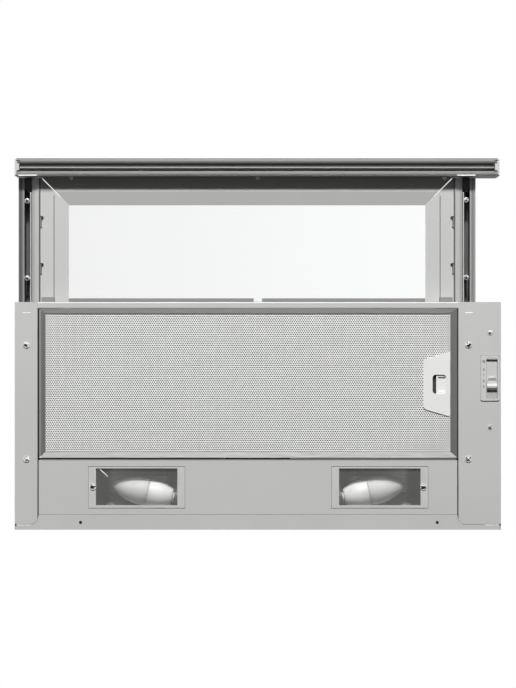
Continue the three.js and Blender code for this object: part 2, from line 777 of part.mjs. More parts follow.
function buildRail({ name, sign }) {
  const x = visorX + sign * (railOffset + railGrooveOut);

  // moving rail: a top-hat section whose wings show from below, the inner one the wider
  const railRear = visorFront + railLength;
  const halfHat = (reach) => [
    [grooveHalf, neckTop - railSheet],
    [grooveHalf, wingBottom],
    [reach, wingBottom],
    [reach, wingTop],
    [neckHalf, wingTop],
    ...race(neckHalf, -raceDepth),
    [neckHalf, neckTop],
  ];
  const wings = [halfHat(innerWing), halfHat(outerWing)];
  const hat = bothHalves(x, ...(sign < 0 ? wings : wings.reverse()));
  add(`moving_rail_${name}`, alongY(hat, railFront, railRear), finishes.zincSteel);

  // fixed rail: a channel open below, screwed to the tray's top sheet
  const channelBottom = wingTop + 3.5;
  const channel = bothHalves(x, [
    [channelInner, channelFloor],
    ...race(channelInner, raceDepth).reverse(),
    [channelInner, channelBottom],
    [channelHalf, channelBottom],
    [channelHalf, channelTop],
  ]);
  add(`fixed_rail_${name}`, alongY(channel, fixedRailFront, -6), finishes.zincSteel);

  // ball cage: a thin bridge over the neck that keeps the balls of both races apart
  const endMargin = 10;
  const cageLength = (ballCount - 1) * ballPitch + 2 * endMargin;
  const cageFront = (fixedRailFront + railRear - cageLength) / 2;
  const cageInner = ballCentre - cageSheet / 2;
  const cageOuter = ballCentre + cageSheet / 2;
  const cageBottom = ballHeight - 3.2;
  const bridge = bothHalves(x, [
    [cageInner, bridgeTop - cageSheet],
    [cageInner, cageBottom],
    [cageOuter, cageBottom],
    [cageOuter, bridgeTop],
  ]);
  const parts = [alongY(bridge, cageFront, cageFront + cageLength)];
  for (let i = 0; i < ballCount; i += 1) {
    for (const side of [-1, 1]) {
      const ball = new THREE.SphereGeometry(ballRadius, 6, 4);
      ball.translate(x + side * ballCentre, cageFront + endMargin + i * ballPitch, ballHeight);
      parts.push(solid(ball));
    }
  }
  add(`ball_cage_${name}`, union(parts), finishes.whitePlastic);
}

// ---------------------------------------------------------------- visor

// The bar's section in (y, z), with y counted back from its rear face: a hollow beam with
// two grooves and a rounded lip along its underside.
function barOutline() {
  const round = 2;
  const points = [
    [0, barTop - 1.5],
    [0, bottom + 2],
    [-2.4, bottom],
    [-5.2, bottom + 0.5],
    [-5.8, bottom + 2],
    [-5.8, bottom + 8],
    [-9.6, bottom + 8],
    [-9.6, bottom + 1],
    [-11.4, bottom + 1],
    [-11.4, bottom + 7.4],
  ];
  const lip = { y: -18.4, z: bottom + 6.6, radius: 6.6, steps: 5 };
  for (let i = 0; i <= lip.steps; i += 1) {
    const angle = (-Math.PI / 2) * (i / lip.steps);
    points.push([lip.y + lip.radius * Math.cos(angle), lip.z + lip.radius * Math.sin(angle)]);
  }
  const cornerSteps = 4;
  for (const [z, start] of [[bottom + round, -Math.PI / 2], [barTop - round, -Math.PI]]) {
    for (let i = 0; i <= cornerSteps; i += 1) {
      const angle = start - (Math.PI / 2) * (i / cornerSteps);
      points.push([-barDepth + round + round * Math.cos(angle), z + round * Math.sin(angle)]);
    }
  }
  points.push([-1.5, barTop]);
  return points;
}

function buildHandleBar() {
  const x0 = left + capThickness;
  const x1 = right - barInset - capThickness;
  const wall = 2.2;
  const shape = shapeOf(barOutline().map(([y, z]) => [barBack + y, z]));
  const chamber = {
    y0: barFront + wall,
    y1: barBack - wall,
    z0: bottom + 8 + wall,
    z1: barTop - wall,
  };
  const chamberOutline = roundedRectangle(chamber.y0, chamber.y1, chamber.z0, chamber.z1, 1);
  shape.holes.push(new THREE.Path(chamberOutline.map(([y, z]) => new THREE.Vector2(y, z))));
  const foot = { reach: 4, y0: barBack - 19, y1: barBack - 6.5, z1: bottom + 4.5 };
  const notchAt = (end, inward) => block(
    end - inward,
    end + inward * (foot.reach + seat),
    foot.y0 - seat,
    foot.y1 + seat,
    bottom - 1,
    foot.z1 + seat,
  );
  const bar = alongX(shape, x0, x1).subtract(notchAt(x0, 1)).subtract(notchAt(x1, -1));
  add('handle_bar', bar, finishes.aluminium);

  // end caps: a rounded plate, a plug in the chamber and a foot in the notch below
  const plateOutline = roundedRectangle(barFront, barBack, bottom, barTop, 1.6);
  const plugOutline = roundedRectangle(
    chamber.y0 + seat, chamber.y1 - seat, chamber.z0 + seat, chamber.z1 - seat, 1,
  );
  for (const { name, sign } of sides) {
    const joint = sign < 0 ? x0 : x1;
    const outer = joint + sign * capThickness;
    const plate = alongX(plateOutline, joint, outer);
    const plug = alongX(plugOutline, outer, joint - sign * 8);
    const footBlock = block(outer, joint - sign * foot.reach, foot.y0, foot.y1, bottom + 1, foot.z1);
    add(`handle_cap_${name}`, union([plate, plug, footBlock]), finishes.greyPlastic);
  }
}

// One mitred member's section: [distance in from the outer edge, height].
function memberSection() {
  const low = facetBottom;
  const high = facetBottom + memberRise;
  const joggle = 0.5; // the small step between the two facets
  return [
    [0, low],
    [memberRidge - 0.6, low],
    [memberRidge, low - joggle],
    [memberWidth, high],
    [memberWidth, high + memberSheet],
    [memberRidge + 0.4, low - joggle + memberSheet],
    [memberRidge - 1, low + memberSheet],
    [memberSheet, low + memberSheet],
    [memberSheet, low + memberWall],
    [0, low + memberWall],
  ];
}

function buildVisorFrame() {
  const section = memberSection();
  const x0 = visorX - frameHalf;
  const x1 = visorX + frameHalf;
  const y0 = visorFront;
  const rear = rearRailRear - memberSheet;
  const far = 2 * frameHalf;

  // front member: each member gives way by half of the gap on its side of the mitre line
  const frontMember = alongX(section.map(([s, z]) => [y0 + s, z]), x0, x1);
  const betweenMitres = (gap) => {
    const shift = gap / Math.SQRT2;
    const reach = memberWidth + 1;
    return alongZ([
      [x0 + shift, y0],
      [x1 - shift, y0],
      [x1 - shift - reach, y0 + reach],
      [x0 + shift + reach, y0 + reach],
    ], bottom, 0);
  };
  const outerZone = block(x0 - 1, x1 + 1, y0 - 1, y0 + mitreOuterPart, bottom, 0);
  const outerPart = frontMember.intersect(betweenMitres(2 * mitreGap - seat)).intersect(outerZone);
  const innerPart = frontMember.intersect(betweenMitres(seat)).subtract(outerZone);
  add('visor_frame_front', outerPart.add(innerPart), finishes.greyPaint);

  // side members: mitred at the front, square at the rear rail, with a flange that lies over
  // the moving rail's inner wing and two bridges lanced up out of the outer facet
  const flangeBottom = wingTop + seat;
  const flangeReach = innerWing - neckHalf - seat;
  const outerEnd = front - memberEnd;
  for (const { name, sign } of sides) {
    const edge = visorX + sign * frameHalf;
    const shift = sign * (seat / Math.SQRT2);
    const member = alongY(section.map(([s, z]) => [edge - sign * s, z]), y0, rear);
    const behindMitre = alongZ([
      [edge + shift, y0],
      [edge + sign * far, y0],
      [edge + sign * far, y0 + far],
      [edge + shift - sign * far, y0 + far],
    ], bottom, 0);
    const inner = edge - sign * memberSheet;
    const flange = block(
      inner, edge + sign * flangeReach, railFront, rear, flangeBottom, flangeBottom + memberSheet,
    );
    const endCut = block(
      inner, edge - sign * (memberRidge + 0.3), outerEnd, rear + 1, facetBottom - 1, facetTop + 1,
    );
    let frame = member.intersect(behindMitre).add(flange).subtract(endCut);
    for (const fromFront of lancedTab.fromFront) {
      const t0 = y0 + fromFront;
      const t1 = t0 + lancedTab.length;
      const far = edge - sign * lancedTab.depth;
      const crown = facetTop + lancedTab.bridge;
      const slot = block(far, inner, t0, t1, facetBottom - 1, crown);
      const bridge = block(
        far - sign, inner, t0 - 1.5, t1 + 1.5, facetBottom + memberSheet / 2, crown + memberSheet,
      );
      frame = frame.add(bridge).subtract(slot);
    }
    add(`visor_frame_${name}`, frame, finishes.greyPaint);
  }

  // rear rail: an angle across both side members, with a notch at its middle and ends that lap
  // under the side members' outer facets
  const ledgeTop = glassBottom - seat;
  const ledgeHalf = glassHalf - seat;
  const ledge = block(
    visorX - ledgeHalf, visorX + ledgeHalf, rearRailFront, rearRailRear, ledgeTop - memberSheet, ledgeTop,
  );
  const upright = block(x0, x1, rear, rearRailRear, facetBottom, ledgeTop + 8);
  const notch = block(
    -notchWidth / 2, notchWidth / 2, rearRailFront - 1, rearRailFront + notchDepth, facetBottom, ledgeTop + 1,
  );
  const lapTop = facetBottom - seat;
  const laps = sides.flatMap(({ sign }) => {
    const edge = visorX + sign * frameHalf;
    const near = edge - sign * 1.5;
    const far = edge - sign * (memberRidge - 0.9);
    const lapFront = outerEnd - 0.3;
    return [
      block(near, far, lapFront, rearRailRear, lapTop - memberSheet, lapTop),
      block(near, far, rear + seat, rearRailRear, lapTop - memberSheet, facetBottom + 2),
    ];
  });
  const rail = union([ledge, upright, ...laps]).subtract(notch);
  add('visor_rear_rail', rail, finishes.greyPaint);

  const glassReach = glassHalf + glassOverlap;
  const glassTop = glassBottom + glassThickness;
  const glass = block(
    visorX - glassReach, visorX + glassReach, glassFront, rear - seat, glassBottom, glassTop,
  );
  add('visor_glass', glass, finishes.glass);
}

// ---------------------------------------------------------------- grease filter

const filterBox = {
  x0: bay.x0 + bayGap + 0.6,
  x1: bay.x1 - bayGap,
  y0: crossbarRear + seat,
  y1: lampPanelFront - 3.1,
};
const filterTop = bottom + filterHeight;
const meshBottom = bottom + bevelRise + sheet;
const meshTop = filterTop - sheet;
const latchY = (filterBox.y0 + filterBox.y1) / 2 - latchForward;
const latchBox = {
  x0: filterBox.x1 - latchDepth,
  x1: filterBox.x1 - frameWall - seat,
  y0: latchY - latchHalf,
  y1: latchY + latchHalf,
};

function buildFilter() {
  const inset = (amount, z) => ({ left: amount, right: amount, front: amount, rear: amount, z });
  const bevels = (z) => ({ left: bevelLeft, right: bevelRight, front: bevelFront, rear: bevelRear, z });
  const ring = rectangularRing(filterBox, [
    inset(0, bottom + 0.4),
    bevels(bottom + bevelRise),
    bevels(meshBottom),
    inset(frameWall, bottom + 1.8),
    inset(frameWall, meshTop),
    bevels(meshTop),
    bevels(filterTop),
    inset(0, filterTop),
  ]);
  const hookZ = lipTop + seat;
  const hookAt = (y) => block(bay.x0 - 3, filterBox.x0 + 1, y, y + hookWidth, hookZ, hookZ + sheet);
  const hooks = [hookAt(filterBox.y0 + hookFromEnd), hookAt(filterBox.y1 - hookFromEnd - hookWidth)];
  const x1 = filterBox.x1;
  const tongueSlot = block(x1 - 3, x1 + 1, latchY - 6, latchY + 6, bottom + 4, bottom + 6.4);
  add('filter_frame', union([ring, ...hooks]).subtract(tongueSlot), finishes.aluminium);

  // mesh, wool and mesh, clamped between the frame's two lips
  const slack = frameWall + seat;
  const latchCut = block(
    latchBox.x0 - seat, x1, latchBox.y0 - seat, latchBox.y1 + seat, bottom, filterTop,
  );
  const layer = (z0, z1) => block(
    filterBox.x0 + slack, x1 - slack, filterBox.y0 + slack, filterBox.y1 - slack, z0, z1,
  ).subtract(latchCut);
  add('filter_mesh_lower', layer(meshBottom, meshBottom + meshSheet), finishes.filterMesh);
  add('filter_wool', layer(meshBottom + meshSheet, meshTop - meshSheet), finishes.filterMesh);
  add('filter_mesh_upper', layer(meshTop - meshSheet, meshTop), finishes.filterMesh);
}

// Outline of the handle plate: wide at the frame, tapering to two rounded corners.
function handleOutline(x0, x1) {
  const { wide, slim, corner, taper } = handlePlate;
  const steps = 4;
  const bend = THREE.MathUtils.degToRad(taper);
  const arcAt = (side) => {
    const arc = [];
    for (let i = 0; i <= steps; i += 1) {
      const angle = bend * (i / steps);
      arc.push([
        x0 + corner * (1 - Math.cos(angle)),
        latchY + side * (slim - corner + corner * Math.sin(angle)),
      ]);
    }
    return arc;
  };
  return [[x1, latchY + wide], ...arcAt(1).reverse(), ...arcAt(-1), [x1, latchY - wide]];
}

function buildFilterLatch() {
  const x1 = filterBox.x1;
  const plateBottom = meshBottom - sheet;
  const outline = handleOutline(x1 - handlePlate.depth, x1 - bevelRight - seat);
  const plate = alongZ(outline, plateBottom, meshBottom);
  const fingerHole = roundedRectangle(
    x1 - fingerWindow.far,
    x1 - fingerWindow.near,
    latchY - fingerWindow.half,
    latchY + fingerWindow.half,
    fingerWindow.corner,
  );
  const handle = plate.subtract(alongZ(fingerHole, plateBottom - 1, meshBottom + 1));
  add('filter_handle_plate', handle, finishes.lightPaint);

  // latch housing: a shallow tray, open below, that fills the cut-out in the mesh pack
  const roof = 0.8;
  const shell = block(latchBox.x0, latchBox.x1, latchBox.y0, latchBox.y1, meshBottom, meshTop);
  const room = block(
    latchBox.x0 + latchWall,
    latchBox.x1 + 1,
    latchBox.y0 + latchWall,
    latchBox.y1 - latchWall,
    meshBottom - 1,
    meshTop - roof,
  );
  add('latch_housing', shell.subtract(room), finishes.blackPlastic);

  // slider: a finger pad seen through the window, two wings, and the tongue
  const top = meshTop - roof - seat;
  const base = meshBottom + seat;
  const padX = latchBox.x1 - fingerPad.depth + 0.2;
  const padEnd = latchBox.x1 - 1;
  const wingX = padX + 3;
  const pad = block(padX, padEnd, latchY - fingerPad.half, latchY + fingerPad.half, base, top);
  const wing = block(wingX, wingX + 6, latchY - fingerPad.wingHalf, latchY + fingerPad.wingHalf, base, top);
  const scoop = block(padX + 2.2, padX + 11, latchY - 9, latchY + 9, base - 1, base + 1.4);
  const tongue = block(padEnd - 1, bay.x1 - 0.4, latchY - 5, latchY + 5, base, base + 1.5);
  add('latch_slider', union([pad, wing, tongue]).subtract(scoop), finishes.lightPaint);

  // return spring beside the pad, between the housing's end and the slider's wing
  const springStart = new THREE.Vector3(
    latchBox.x0 + latchWall + seat + springWire,
    latchY + fingerPad.wingHalf - 3,
    (top + base) / 2,
  );
  const spring = coil(springStart, wingX - seat - springWire, springRadius, springWire, springTurns);
  add('latch_spring', spring, finishes.zincSteel);
}

// ---------------------------------------------------------------- blower housing

function buildHousing() {
  const x = housingHalf;
  const y0 = housingFront;
  const y1 = housingRear;
  const shell = block(-x, x, y0, y1, 0, housingHeight);
  const room = block(-x + sheet, x - sheet, y0 + sheet, y1 - sheet, -1, housingRoof);
  const foot = block(-x - footReach, x + footReach, y0 - footReach + 2, y1, 0, sheet);
  const throughRoof = (radius, cx, cy, segments) => rod(
    radius,
    new THREE.Vector3(cx, cy, housingRoof - 1),
    new THREE.Vector3(cx, cy, housingHeight + 1),
    segments,
  );
  const outlet = throughRoof(collarRadius - collarWall, 0, collarY, 40);
  const glandHole = throughRoof(glandRadius + seat, glandX, glandY, 16);
  const housing = shell.add(foot).subtract(union([room, outlet, glandHole]));
  add('blower_housing', housing, finishes.zincSteel);

  for (const { name, sign } of sides) {
    add(`cabinet_bracket_${name}`, cabinetBracket(sign), finishes.zincSteel);
  }
}

// Omega section that reaches out to the cabinet's side, with two screw slots in its face.
function cabinetBracket(sign) {
  const mid = housingMiddle;
  const half = bracketWidth / 2;
  const wallX = sign * housingHalf;
  const out = wallX + sign * bracketReach;
  const t = sign * bracketSheet;
  const outline = [
    [wallX, mid - half - bracketTab],
    [wallX, mid - half + bracketSheet],
    [out - t, mid - half + bracketSheet],
    [out - t, mid + half - bracketSheet],
    [wallX, mid + half - bracketSheet],
    [wallX, mid + half + bracketTab],
    [wallX + t, mid + half + bracketTab],
    [wallX + t, mid + half],
    [out, mid + half],
    [out, mid - half],
    [wallX + t, mid - half],
    [wallX + t, mid - half - bracketTab],
  ];
  const { length, height, fromEnd } = bracketSlot;
  const slots = [bracketBottom + fromEnd, bracketTop - fromEnd].map((z) => {
    const slot = roundedRectangle(
      mid - length / 2, mid + length / 2, z - height / 2, z + height / 2, height / 2 - 0.1,
    );
    return alongX(slot, out - 2 * t, out + t);
  });
  return alongZ(outline, bracketBottom, bracketTop).subtract(union(slots));
}

function buildElectrics() {
  const roof = housingRoof;
  const wall = terminalBox.wall;
  const box = {
    x0: glandX - terminalBox.half,
    x1: glandX + terminalBox.half,
    y0: glandY - terminalBox.front,
    y1: glandY + terminalBox.rear,
    z0: roof - terminalBox.height,
  };
  const boxInset = (by, z0, z1) => block(box.x0 + by, box.x1 - by, box.y0 + by, box.y1 - by, z0, z1);
  const entry = rod(
    glandRadius + seat,
    new THREE.Vector3(glandX, glandY, roof - wall - 1),
    new THREE.Vector3(glandX, glandY, roof + 1),
    16,
  );
  const shell = boxInset(0, box.z0, roof).subtract(boxInset(wall, box.z0 - 1, roof - wall));
  add('terminal_box', shell.subtract(entry), finishes.blackPlastic);
  const lid = boxInset(0, box.z0 - 1.8, box.z0).add(boxInset(wall + seat, box.z0 - 1, box.z0 + 3));
  add('terminal_box_lid', lid, finishes.greyPlastic);

  const stripTop = roof - wall - seat;
  const strip = block(box.x0 + 8, box.x1 - 8, box.y0 + wall + 1, box.y0 + wall + 14, stripTop - 14, stripTop);
  add('terminal_strip', strip, finishes.whitePlastic);

  const { radius, height } = capacitor;
  const canister = turned([
    [0, 0],
    [radius - 2, 0],
    [radius, 2],
    [radius, height - 6],
    [4, height - 6],
    [4, height],
    [0, height],
  ], 20, unit.z, new THREE.Vector3(box.x0 - capacitor.fromBox, glandY - capacitor.forward, roof - height));
  add('run_capacitor', canister, finishes.whitePlastic);

  // cable gland through the housing's roof, with a flange, a domed nut and a bore
  const bore = 3.5;
  const barrel = turned([
    [bore, 0],
    [glandRadius, 0],
    [glandRadius, 6],
    [13, 6],
    [13, 8],
    [9.5, 8],
    [9.5, 18],
    [7, 21],
    [bore, 21],
    [bore, 0],
  ], 16, unit.z, new THREE.Vector3(glandX, glandY, housingHeight - 6));
  add('cable_gland', barrel, finishes.blackPlastic);
}

// ---------------------------------------------------------------- blower

const axisAt = (x) => new THREE.Vector3(x, blowerY, blowerHeight);
const scrollHalf = blowerWidth / 2;
const sidePlateX = scrollHalf + scrollWall;
const motorX = sidePlateX + motorStandoff;
const legAngles = [0, 1, 2].map((i) => Math.PI / 2 + (2 * Math.PI * i) / 3);

function scrollPoint(angle, extra) {
  const share = (angle - tongueAngle) / (2 * Math.PI - tongueAngle);
  const r = impellerRadius + cutoffGap + scrollGrowth * share + extra;
  return [blowerY + r * Math.cos(angle), blowerHeight + r * Math.sin(angle)];
}

function ringAt(x0, x1, innerRadius, outerRadius, segments = 26) {
  const width = x1 - x0;
  const section = [
    [innerRadius, 0],
    [outerRadius, 0],
    [outerRadius, width],
    [innerRadius, width],
    [innerRadius, 0],
  ];
  return turned(section, segments, unit.x, axisAt(x0));
}

function legPoint(angle, radius, x) {
  return new THREE.Vector3(x, blowerY + radius * Math.cos(angle), blowerHeight + radius * Math.sin(angle));
}

function buildBlower() {
  const mouth = housingRoof - seat;
  const steps = 28;
  const outerStart = tongueAngle + THREE.MathUtils.degToRad(15);
  const inner = [];
  const outer = [];
  for (let i = 0; i <= steps; i += 1) {
    inner.push(scrollPoint(THREE.MathUtils.lerp(tongueAngle, 2 * Math.PI, i / steps), 0));
    outer.unshift(scrollPoint(THREE.MathUtils.lerp(outerStart, 2 * Math.PI, i / steps), scrollWall));
  }
  const tongue = inner[0];
  const outerLast = outer[steps];
  const throatY = inner[steps][0];
  const flareSlope = outletFlare / (mouth - tongue[1]);
  const flareFoot = [outerLast[0] - (mouth - outerLast[1]) * flareSlope, mouth];
  const wall = alongX([
    [tongue[0] - outletFlare, mouth],
    ...inner,
    [throatY, mouth],
    [throatY + scrollWall, mouth],
    ...outer,
    flareFoot,
  ], -scrollHalf, scrollHalf);
  add('scroll_wall', wall, finishes.blackPlastic);

  // side plates with bellmouth inlets, and a ledge below the housing's roof
  const sideOutline = [[throatY + scrollWall, mouth], ...outer, flareFoot];
  const bellReach = 5;
  const bellEnd = bellReach + scrollWall + 3;
  const bell = [
    [inletRadius + 6, 0],
    [inletRadius + 7.5, 1],
    [inletRadius + 4, 3.2],
    [inletRadius + 2, 6],
    [inletRadius + 1.6, bellEnd],
    [inletRadius, bellEnd],
    [inletRadius + 0.4, 5.5],
    [inletRadius + 2.4, 2.2],
    [inletRadius + 6, 0],
  ];
  for (const { name, sign } of sides) {
    const face = sign * scrollHalf;
    const outerFace = sign * sidePlateX;
    const plate = alongX(sideOutline, face, outerFace);
    const inward = new THREE.Vector3(-sign, 0, 0);
    const mouthRing = turned(bell, 24, inward, axisAt(outerFace + sign * bellReach));
    const hole = rod(inletRadius + 1, axisAt(face - sign), axisAt(outerFace + sign), 24);
    const ledge = block(face, outerFace + sign * ledgeReach, flareFoot[0], throatY, mouth - 2, mouth);
    const bossAt = (angle) => rod(
      bossRadius,
      legPoint(angle, legRadius, outerFace - 0.5),
      legPoint(angle, legRadius, outerFace + bossHeight),
      12,
    );
    const bosses = sign < 0 ? [] : legAngles.map(bossAt);
    const side = union([plate.subtract(hole), mouthRing, ledge, ...bosses]);
    add(`scroll_side_${name}`, side, finishes.blackPlastic);
  }
}

// One forward-curved blade: a thin crescent that leans into the turn.
function bladeOutline(turn) {
  const lean = THREE.MathUtils.degToRad(9);
  const rootRadius = impellerRadius - bladeChord + 0.3;
  const line = [0, 0.5, 1].map((t) => [rootRadius + (bladeChord - 0.6) * t, lean * t * t]);
  const edge = (shift) => line.map(([radius, angle]) => {
    const a = angle + turn + shift / radius;
    return [blowerY + radius * Math.cos(a), blowerHeight + radius * Math.sin(a)];
  });
  return [...edge(-bladeSheet / 2), ...edge(bladeSheet / 2).reverse()];
}

function buildImpeller() {
  const half = scrollHalf - impellerEndGap;
  const rim = 2.5;
  const rimInner = impellerRadius - bladeChord + 2.5;
  const bore = shaftRadius + seat;
  const parts = [
    ringAt(-half, -half + rim, rimInner, impellerRadius),
    ringAt(half - rim, half, rimInner, impellerRadius),
    ringAt(-1.5, 1.5, bore, impellerRadius),
    ringAt(-9, 9, bore, impellerHub),
  ];
  for (let i = 0; i < bladeCount; i += 1) {
    parts.push(alongX(bladeOutline((2 * Math.PI * i) / bladeCount), -half + 1, half - 1));
  }
  add('impeller', union(parts), finishes.greyPlastic);
  add('motor_shaft', rod(shaftRadius, axisAt(-8), axisAt(motorX + 20), 16), finishes.zincSteel);
}

function buildMotor() {
  // a drum with two stepped end bells and a bore for the shaft
  const bellRadius = motorRadius - 6;
  const bellLength = 14;
  const bore = shaftRadius + seat;
  const boreDepth = 24;
  const drum = turned([
    [bore, 0],
    [14, 0],
    [14, 4],
    [bellRadius, 6],
    [bellRadius, bellLength],
    [motorRadius, bellLength],
    [motorRadius, motorLength - bellLength],
    [bellRadius, motorLength - bellLength],
    [bellRadius, motorLength - 4],
    [12, motorLength],
    [0, motorLength],
    [0, boreDepth],
    [bore, boreDepth],
    [bore, 0],
  ], 24, unit.x, axisAt(motorX));
  add('motor', drum, finishes.zincSteel);

  // spider: a ring round the motor's front bell with three legs to the scroll's bosses
  const ringX0 = motorX + 7;
  const ringX1 = ringX0 + 5;
  const legs = legAngles.map((angle) => {
    const foot = legPoint(angle, legRadius, sidePlateX + bossHeight + seat);
    const post = rod(4, foot, legPoint(angle, legRadius, ringX1), 12);
    const armX = (ringX0 + ringX1) / 2;
    const arm = rod(2.4, legPoint(angle, bellRadius + 3, armX), legPoint(angle, legRadius, armX), 8);
    return post.add(arm);
  });
  const ring = ringAt(ringX0, ringX1, bellRadius + seat, bellRadius + 6, 24);
  add('motor_spider', union([ring, ...legs]), finishes.zincSteel);
}

// ---------------------------------------------------------------- duct collar and backdraught flaps

function buildCollar() {
  const z0 = housingHeight;
  const innerRadius = collarRadius - collarWall;
  const lip = 3;
  const tube = turned([
    [innerRadius - lip, 1.2],
    [innerRadius - lip, 0],
    [collarFlange, 0],
    [collarFlange, flangeThickness],
    [collarRadius, flangeThickness],
    [collarRadius, collarHeight - 2],
    [collarRadius - 0.8, collarHeight],
    [innerRadius, collarHeight],
    [innerRadius, 2.4],
    [innerRadius - lip, 1.2],
  ], 40, unit.z, new THREE.Vector3(0, collarY, z0));

  // two hinge bosses, each bored for the pins of both flaps
  const hingeZ = z0 + 4.6;
  const bossInner = innerRadius - 1.2;
  const bosses = [-1, 1].map((side) => block(
    -7, 7, collarY + side * bossInner, collarY + side * (innerRadius + 1), z0 + 2, z0 + 8,
  ));
  const alongHinge = (radius, x, half) => rod(
    radius, new THREE.Vector3(x, collarY - half, hingeZ), new THREE.Vector3(x, collarY + half, hingeZ), 12,
  );
  const pinHoles = sides.map(({ sign }) => alongHinge(
    flapPin + seat, sign * flapAxisOffset, innerRadius + 0.6,
  ));
  add('duct_collar', union([tube, ...bosses]).subtract(union(pinHoles)), finishes.blackPlastic);

  // each flap: a half disc on a barrel, with a pin at both ends of the barrel
  const flapRadius = innerRadius - 1.5;
  const barrelHalf = bossInner - 0.5;
  const discHalf = barrelHalf - 1;
  const discBottom = hingeZ - 1.9;
  const arcSteps = 16;
  const endAngle = Math.asin(discHalf / flapRadius);
  for (const { name, sign } of sides) {
    const x = sign * flapAxisOffset;
    const barrel = alongHinge(2, x, barrelHalf);
    const pins = alongHinge(flapPin, x, innerRadius + 0.3);
    const outline = [[x, collarY - discHalf]];
    for (let i = 0; i <= arcSteps; i += 1) {
      const angle = THREE.MathUtils.lerp(-endAngle, endAngle, i / arcSteps);
      outline.push([sign * flapRadius * Math.cos(angle), collarY + flapRadius * Math.sin(angle)]);
    }
    outline.push([x, collarY + discHalf]);
    const disc = alongZ(outline, discBottom, discBottom + flapSheet);
    add(`backdraught_flap_${name}`, union([barrel, pins, disc]), finishes.greyPlastic);
  }
}

buildTray();
buildLampPanel();
sides.forEach(buildLamp);
buildSwitch();
sides.forEach(buildRail);
buildHandleBar();
buildVisorFrame();
buildFilter();
buildFilterLatch();
buildHousing();
buildElectrics();
buildBlower();
buildImpeller();
buildMotor();
buildCollar();

export default hood;
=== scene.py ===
# Pull-out range hood, photographed from straight below with its glass visor drawn out.
# Metres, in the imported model's frame: +X right, -Y towards the front, +Z up.
import json
import math

import bmesh
import bpy
from mathutils import Matrix, Vector


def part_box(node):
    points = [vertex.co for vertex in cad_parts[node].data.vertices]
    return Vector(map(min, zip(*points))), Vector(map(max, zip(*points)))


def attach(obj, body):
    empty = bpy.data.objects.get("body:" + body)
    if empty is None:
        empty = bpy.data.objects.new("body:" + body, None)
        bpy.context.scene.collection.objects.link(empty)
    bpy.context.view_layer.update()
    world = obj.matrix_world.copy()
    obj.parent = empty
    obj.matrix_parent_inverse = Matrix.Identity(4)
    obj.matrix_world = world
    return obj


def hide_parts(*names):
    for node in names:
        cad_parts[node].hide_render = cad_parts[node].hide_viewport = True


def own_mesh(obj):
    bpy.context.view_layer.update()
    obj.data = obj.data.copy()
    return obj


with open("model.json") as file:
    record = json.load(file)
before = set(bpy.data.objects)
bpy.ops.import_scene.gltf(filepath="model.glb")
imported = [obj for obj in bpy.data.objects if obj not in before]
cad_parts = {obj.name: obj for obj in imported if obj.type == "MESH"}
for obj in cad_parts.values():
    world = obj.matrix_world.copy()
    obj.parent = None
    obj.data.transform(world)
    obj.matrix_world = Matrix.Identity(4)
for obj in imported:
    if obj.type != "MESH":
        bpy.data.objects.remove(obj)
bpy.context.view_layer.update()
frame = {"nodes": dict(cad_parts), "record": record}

nodes = frame["nodes"]
MM = 0.001


def low(node):
    """The low corner of a node's box, in metres."""
    return Vector(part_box(node)[0])


def high(node):
    """The high corner of a node's box, in metres."""
    return Vector(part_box(node)[1])


# ---------------------------------------------------------------- camera

PHOTO_PIXEL = 1.2297 * MM  # one pixel of the photograph, at the tray's underside
PHOTO_HEIGHT = 688
CAMERA_DISTANCE = 2.4  # below the tray's underside
VIEW_CENTRE = (0.0002, -0.2284)

underside = low("side_channel_left").z
tray_face = underside / MM
groove_x = [(low(f"moving_rail_{side}").x + high(f"moving_rail_{side}").x) / 2 / MM + shift
            for side, shift in (("left", -1.1), ("right", 1.1))]
OUTER_WING_LEFT = (groove_x[0] - 13, groove_x[0] - 5.4)
OUTER_WING_RIGHT = (groove_x[1] + 4.7, groove_x[1] + 11.8)
visor_middle = (low("visor_rear_rail").x + high("visor_rear_rail").x) / 2 / MM


def both_sides(x0, x1, middle):
    """The same stretch of X on the left and, mirrored, on the right."""
    return (x0, x1), (2 * middle - x1, 2 * middle - x0)


def make_camera():
    data = bpy.data.cameras.new("photo_camera")
    data.sensor_width = 36  # along the picture's longer side
    data.lens = data.sensor_width * CAMERA_DISTANCE / (PHOTO_HEIGHT * PHOTO_PIXEL)
    data.clip_end = 50
    camera = bpy.data.objects.new("photo_camera", data)
    # looks straight up, with the hood's front at the top of the picture
    camera.matrix_world = Matrix((
        (1, 0, 0, VIEW_CENTRE[0]),
        (0, -1, 0, VIEW_CENTRE[1]),
        (0, 0, -1, underside - CAMERA_DISTANCE),
        (0, 0, 0, 1),
    ))
    bpy.context.collection.objects.link(camera)
    bpy.context.scene.camera = camera


# ---------------------------------------------------------------- stage and light

FLOOR_DEPTH = 3.6
ROOM_FILL = 0.018  # light from the room, against 1 for the white that the camera sees
ROOM_MIRRORED = 0.6  # how bright the room looks in metal
FLOOR_FILL = 0.06  # the floor's colour for the light that it throws back
FLOOR_SEEN = 0.6  # added where the camera sees the floor, so that it looks pale from above


def make_world():
    world = bpy.data.worlds.new("white_room")
    bpy.context.scene.world = world
    world.use_nodes = True
    tree = world.node_tree
    tree.nodes.clear()
    output = tree.nodes.new("ShaderNodeOutputWorld")
    background = tree.nodes.new("ShaderNodeBackground")
    background.inputs["Color"].default_value = (1, 1, 1, 1)
    tree.links.new(background.outputs[0], output.inputs["Surface"])
    level = level_by_ray(tree, ROOM_FILL, ROOM_MIRRORED, 1)
    tree.links.new(level, background.inputs["Strength"])


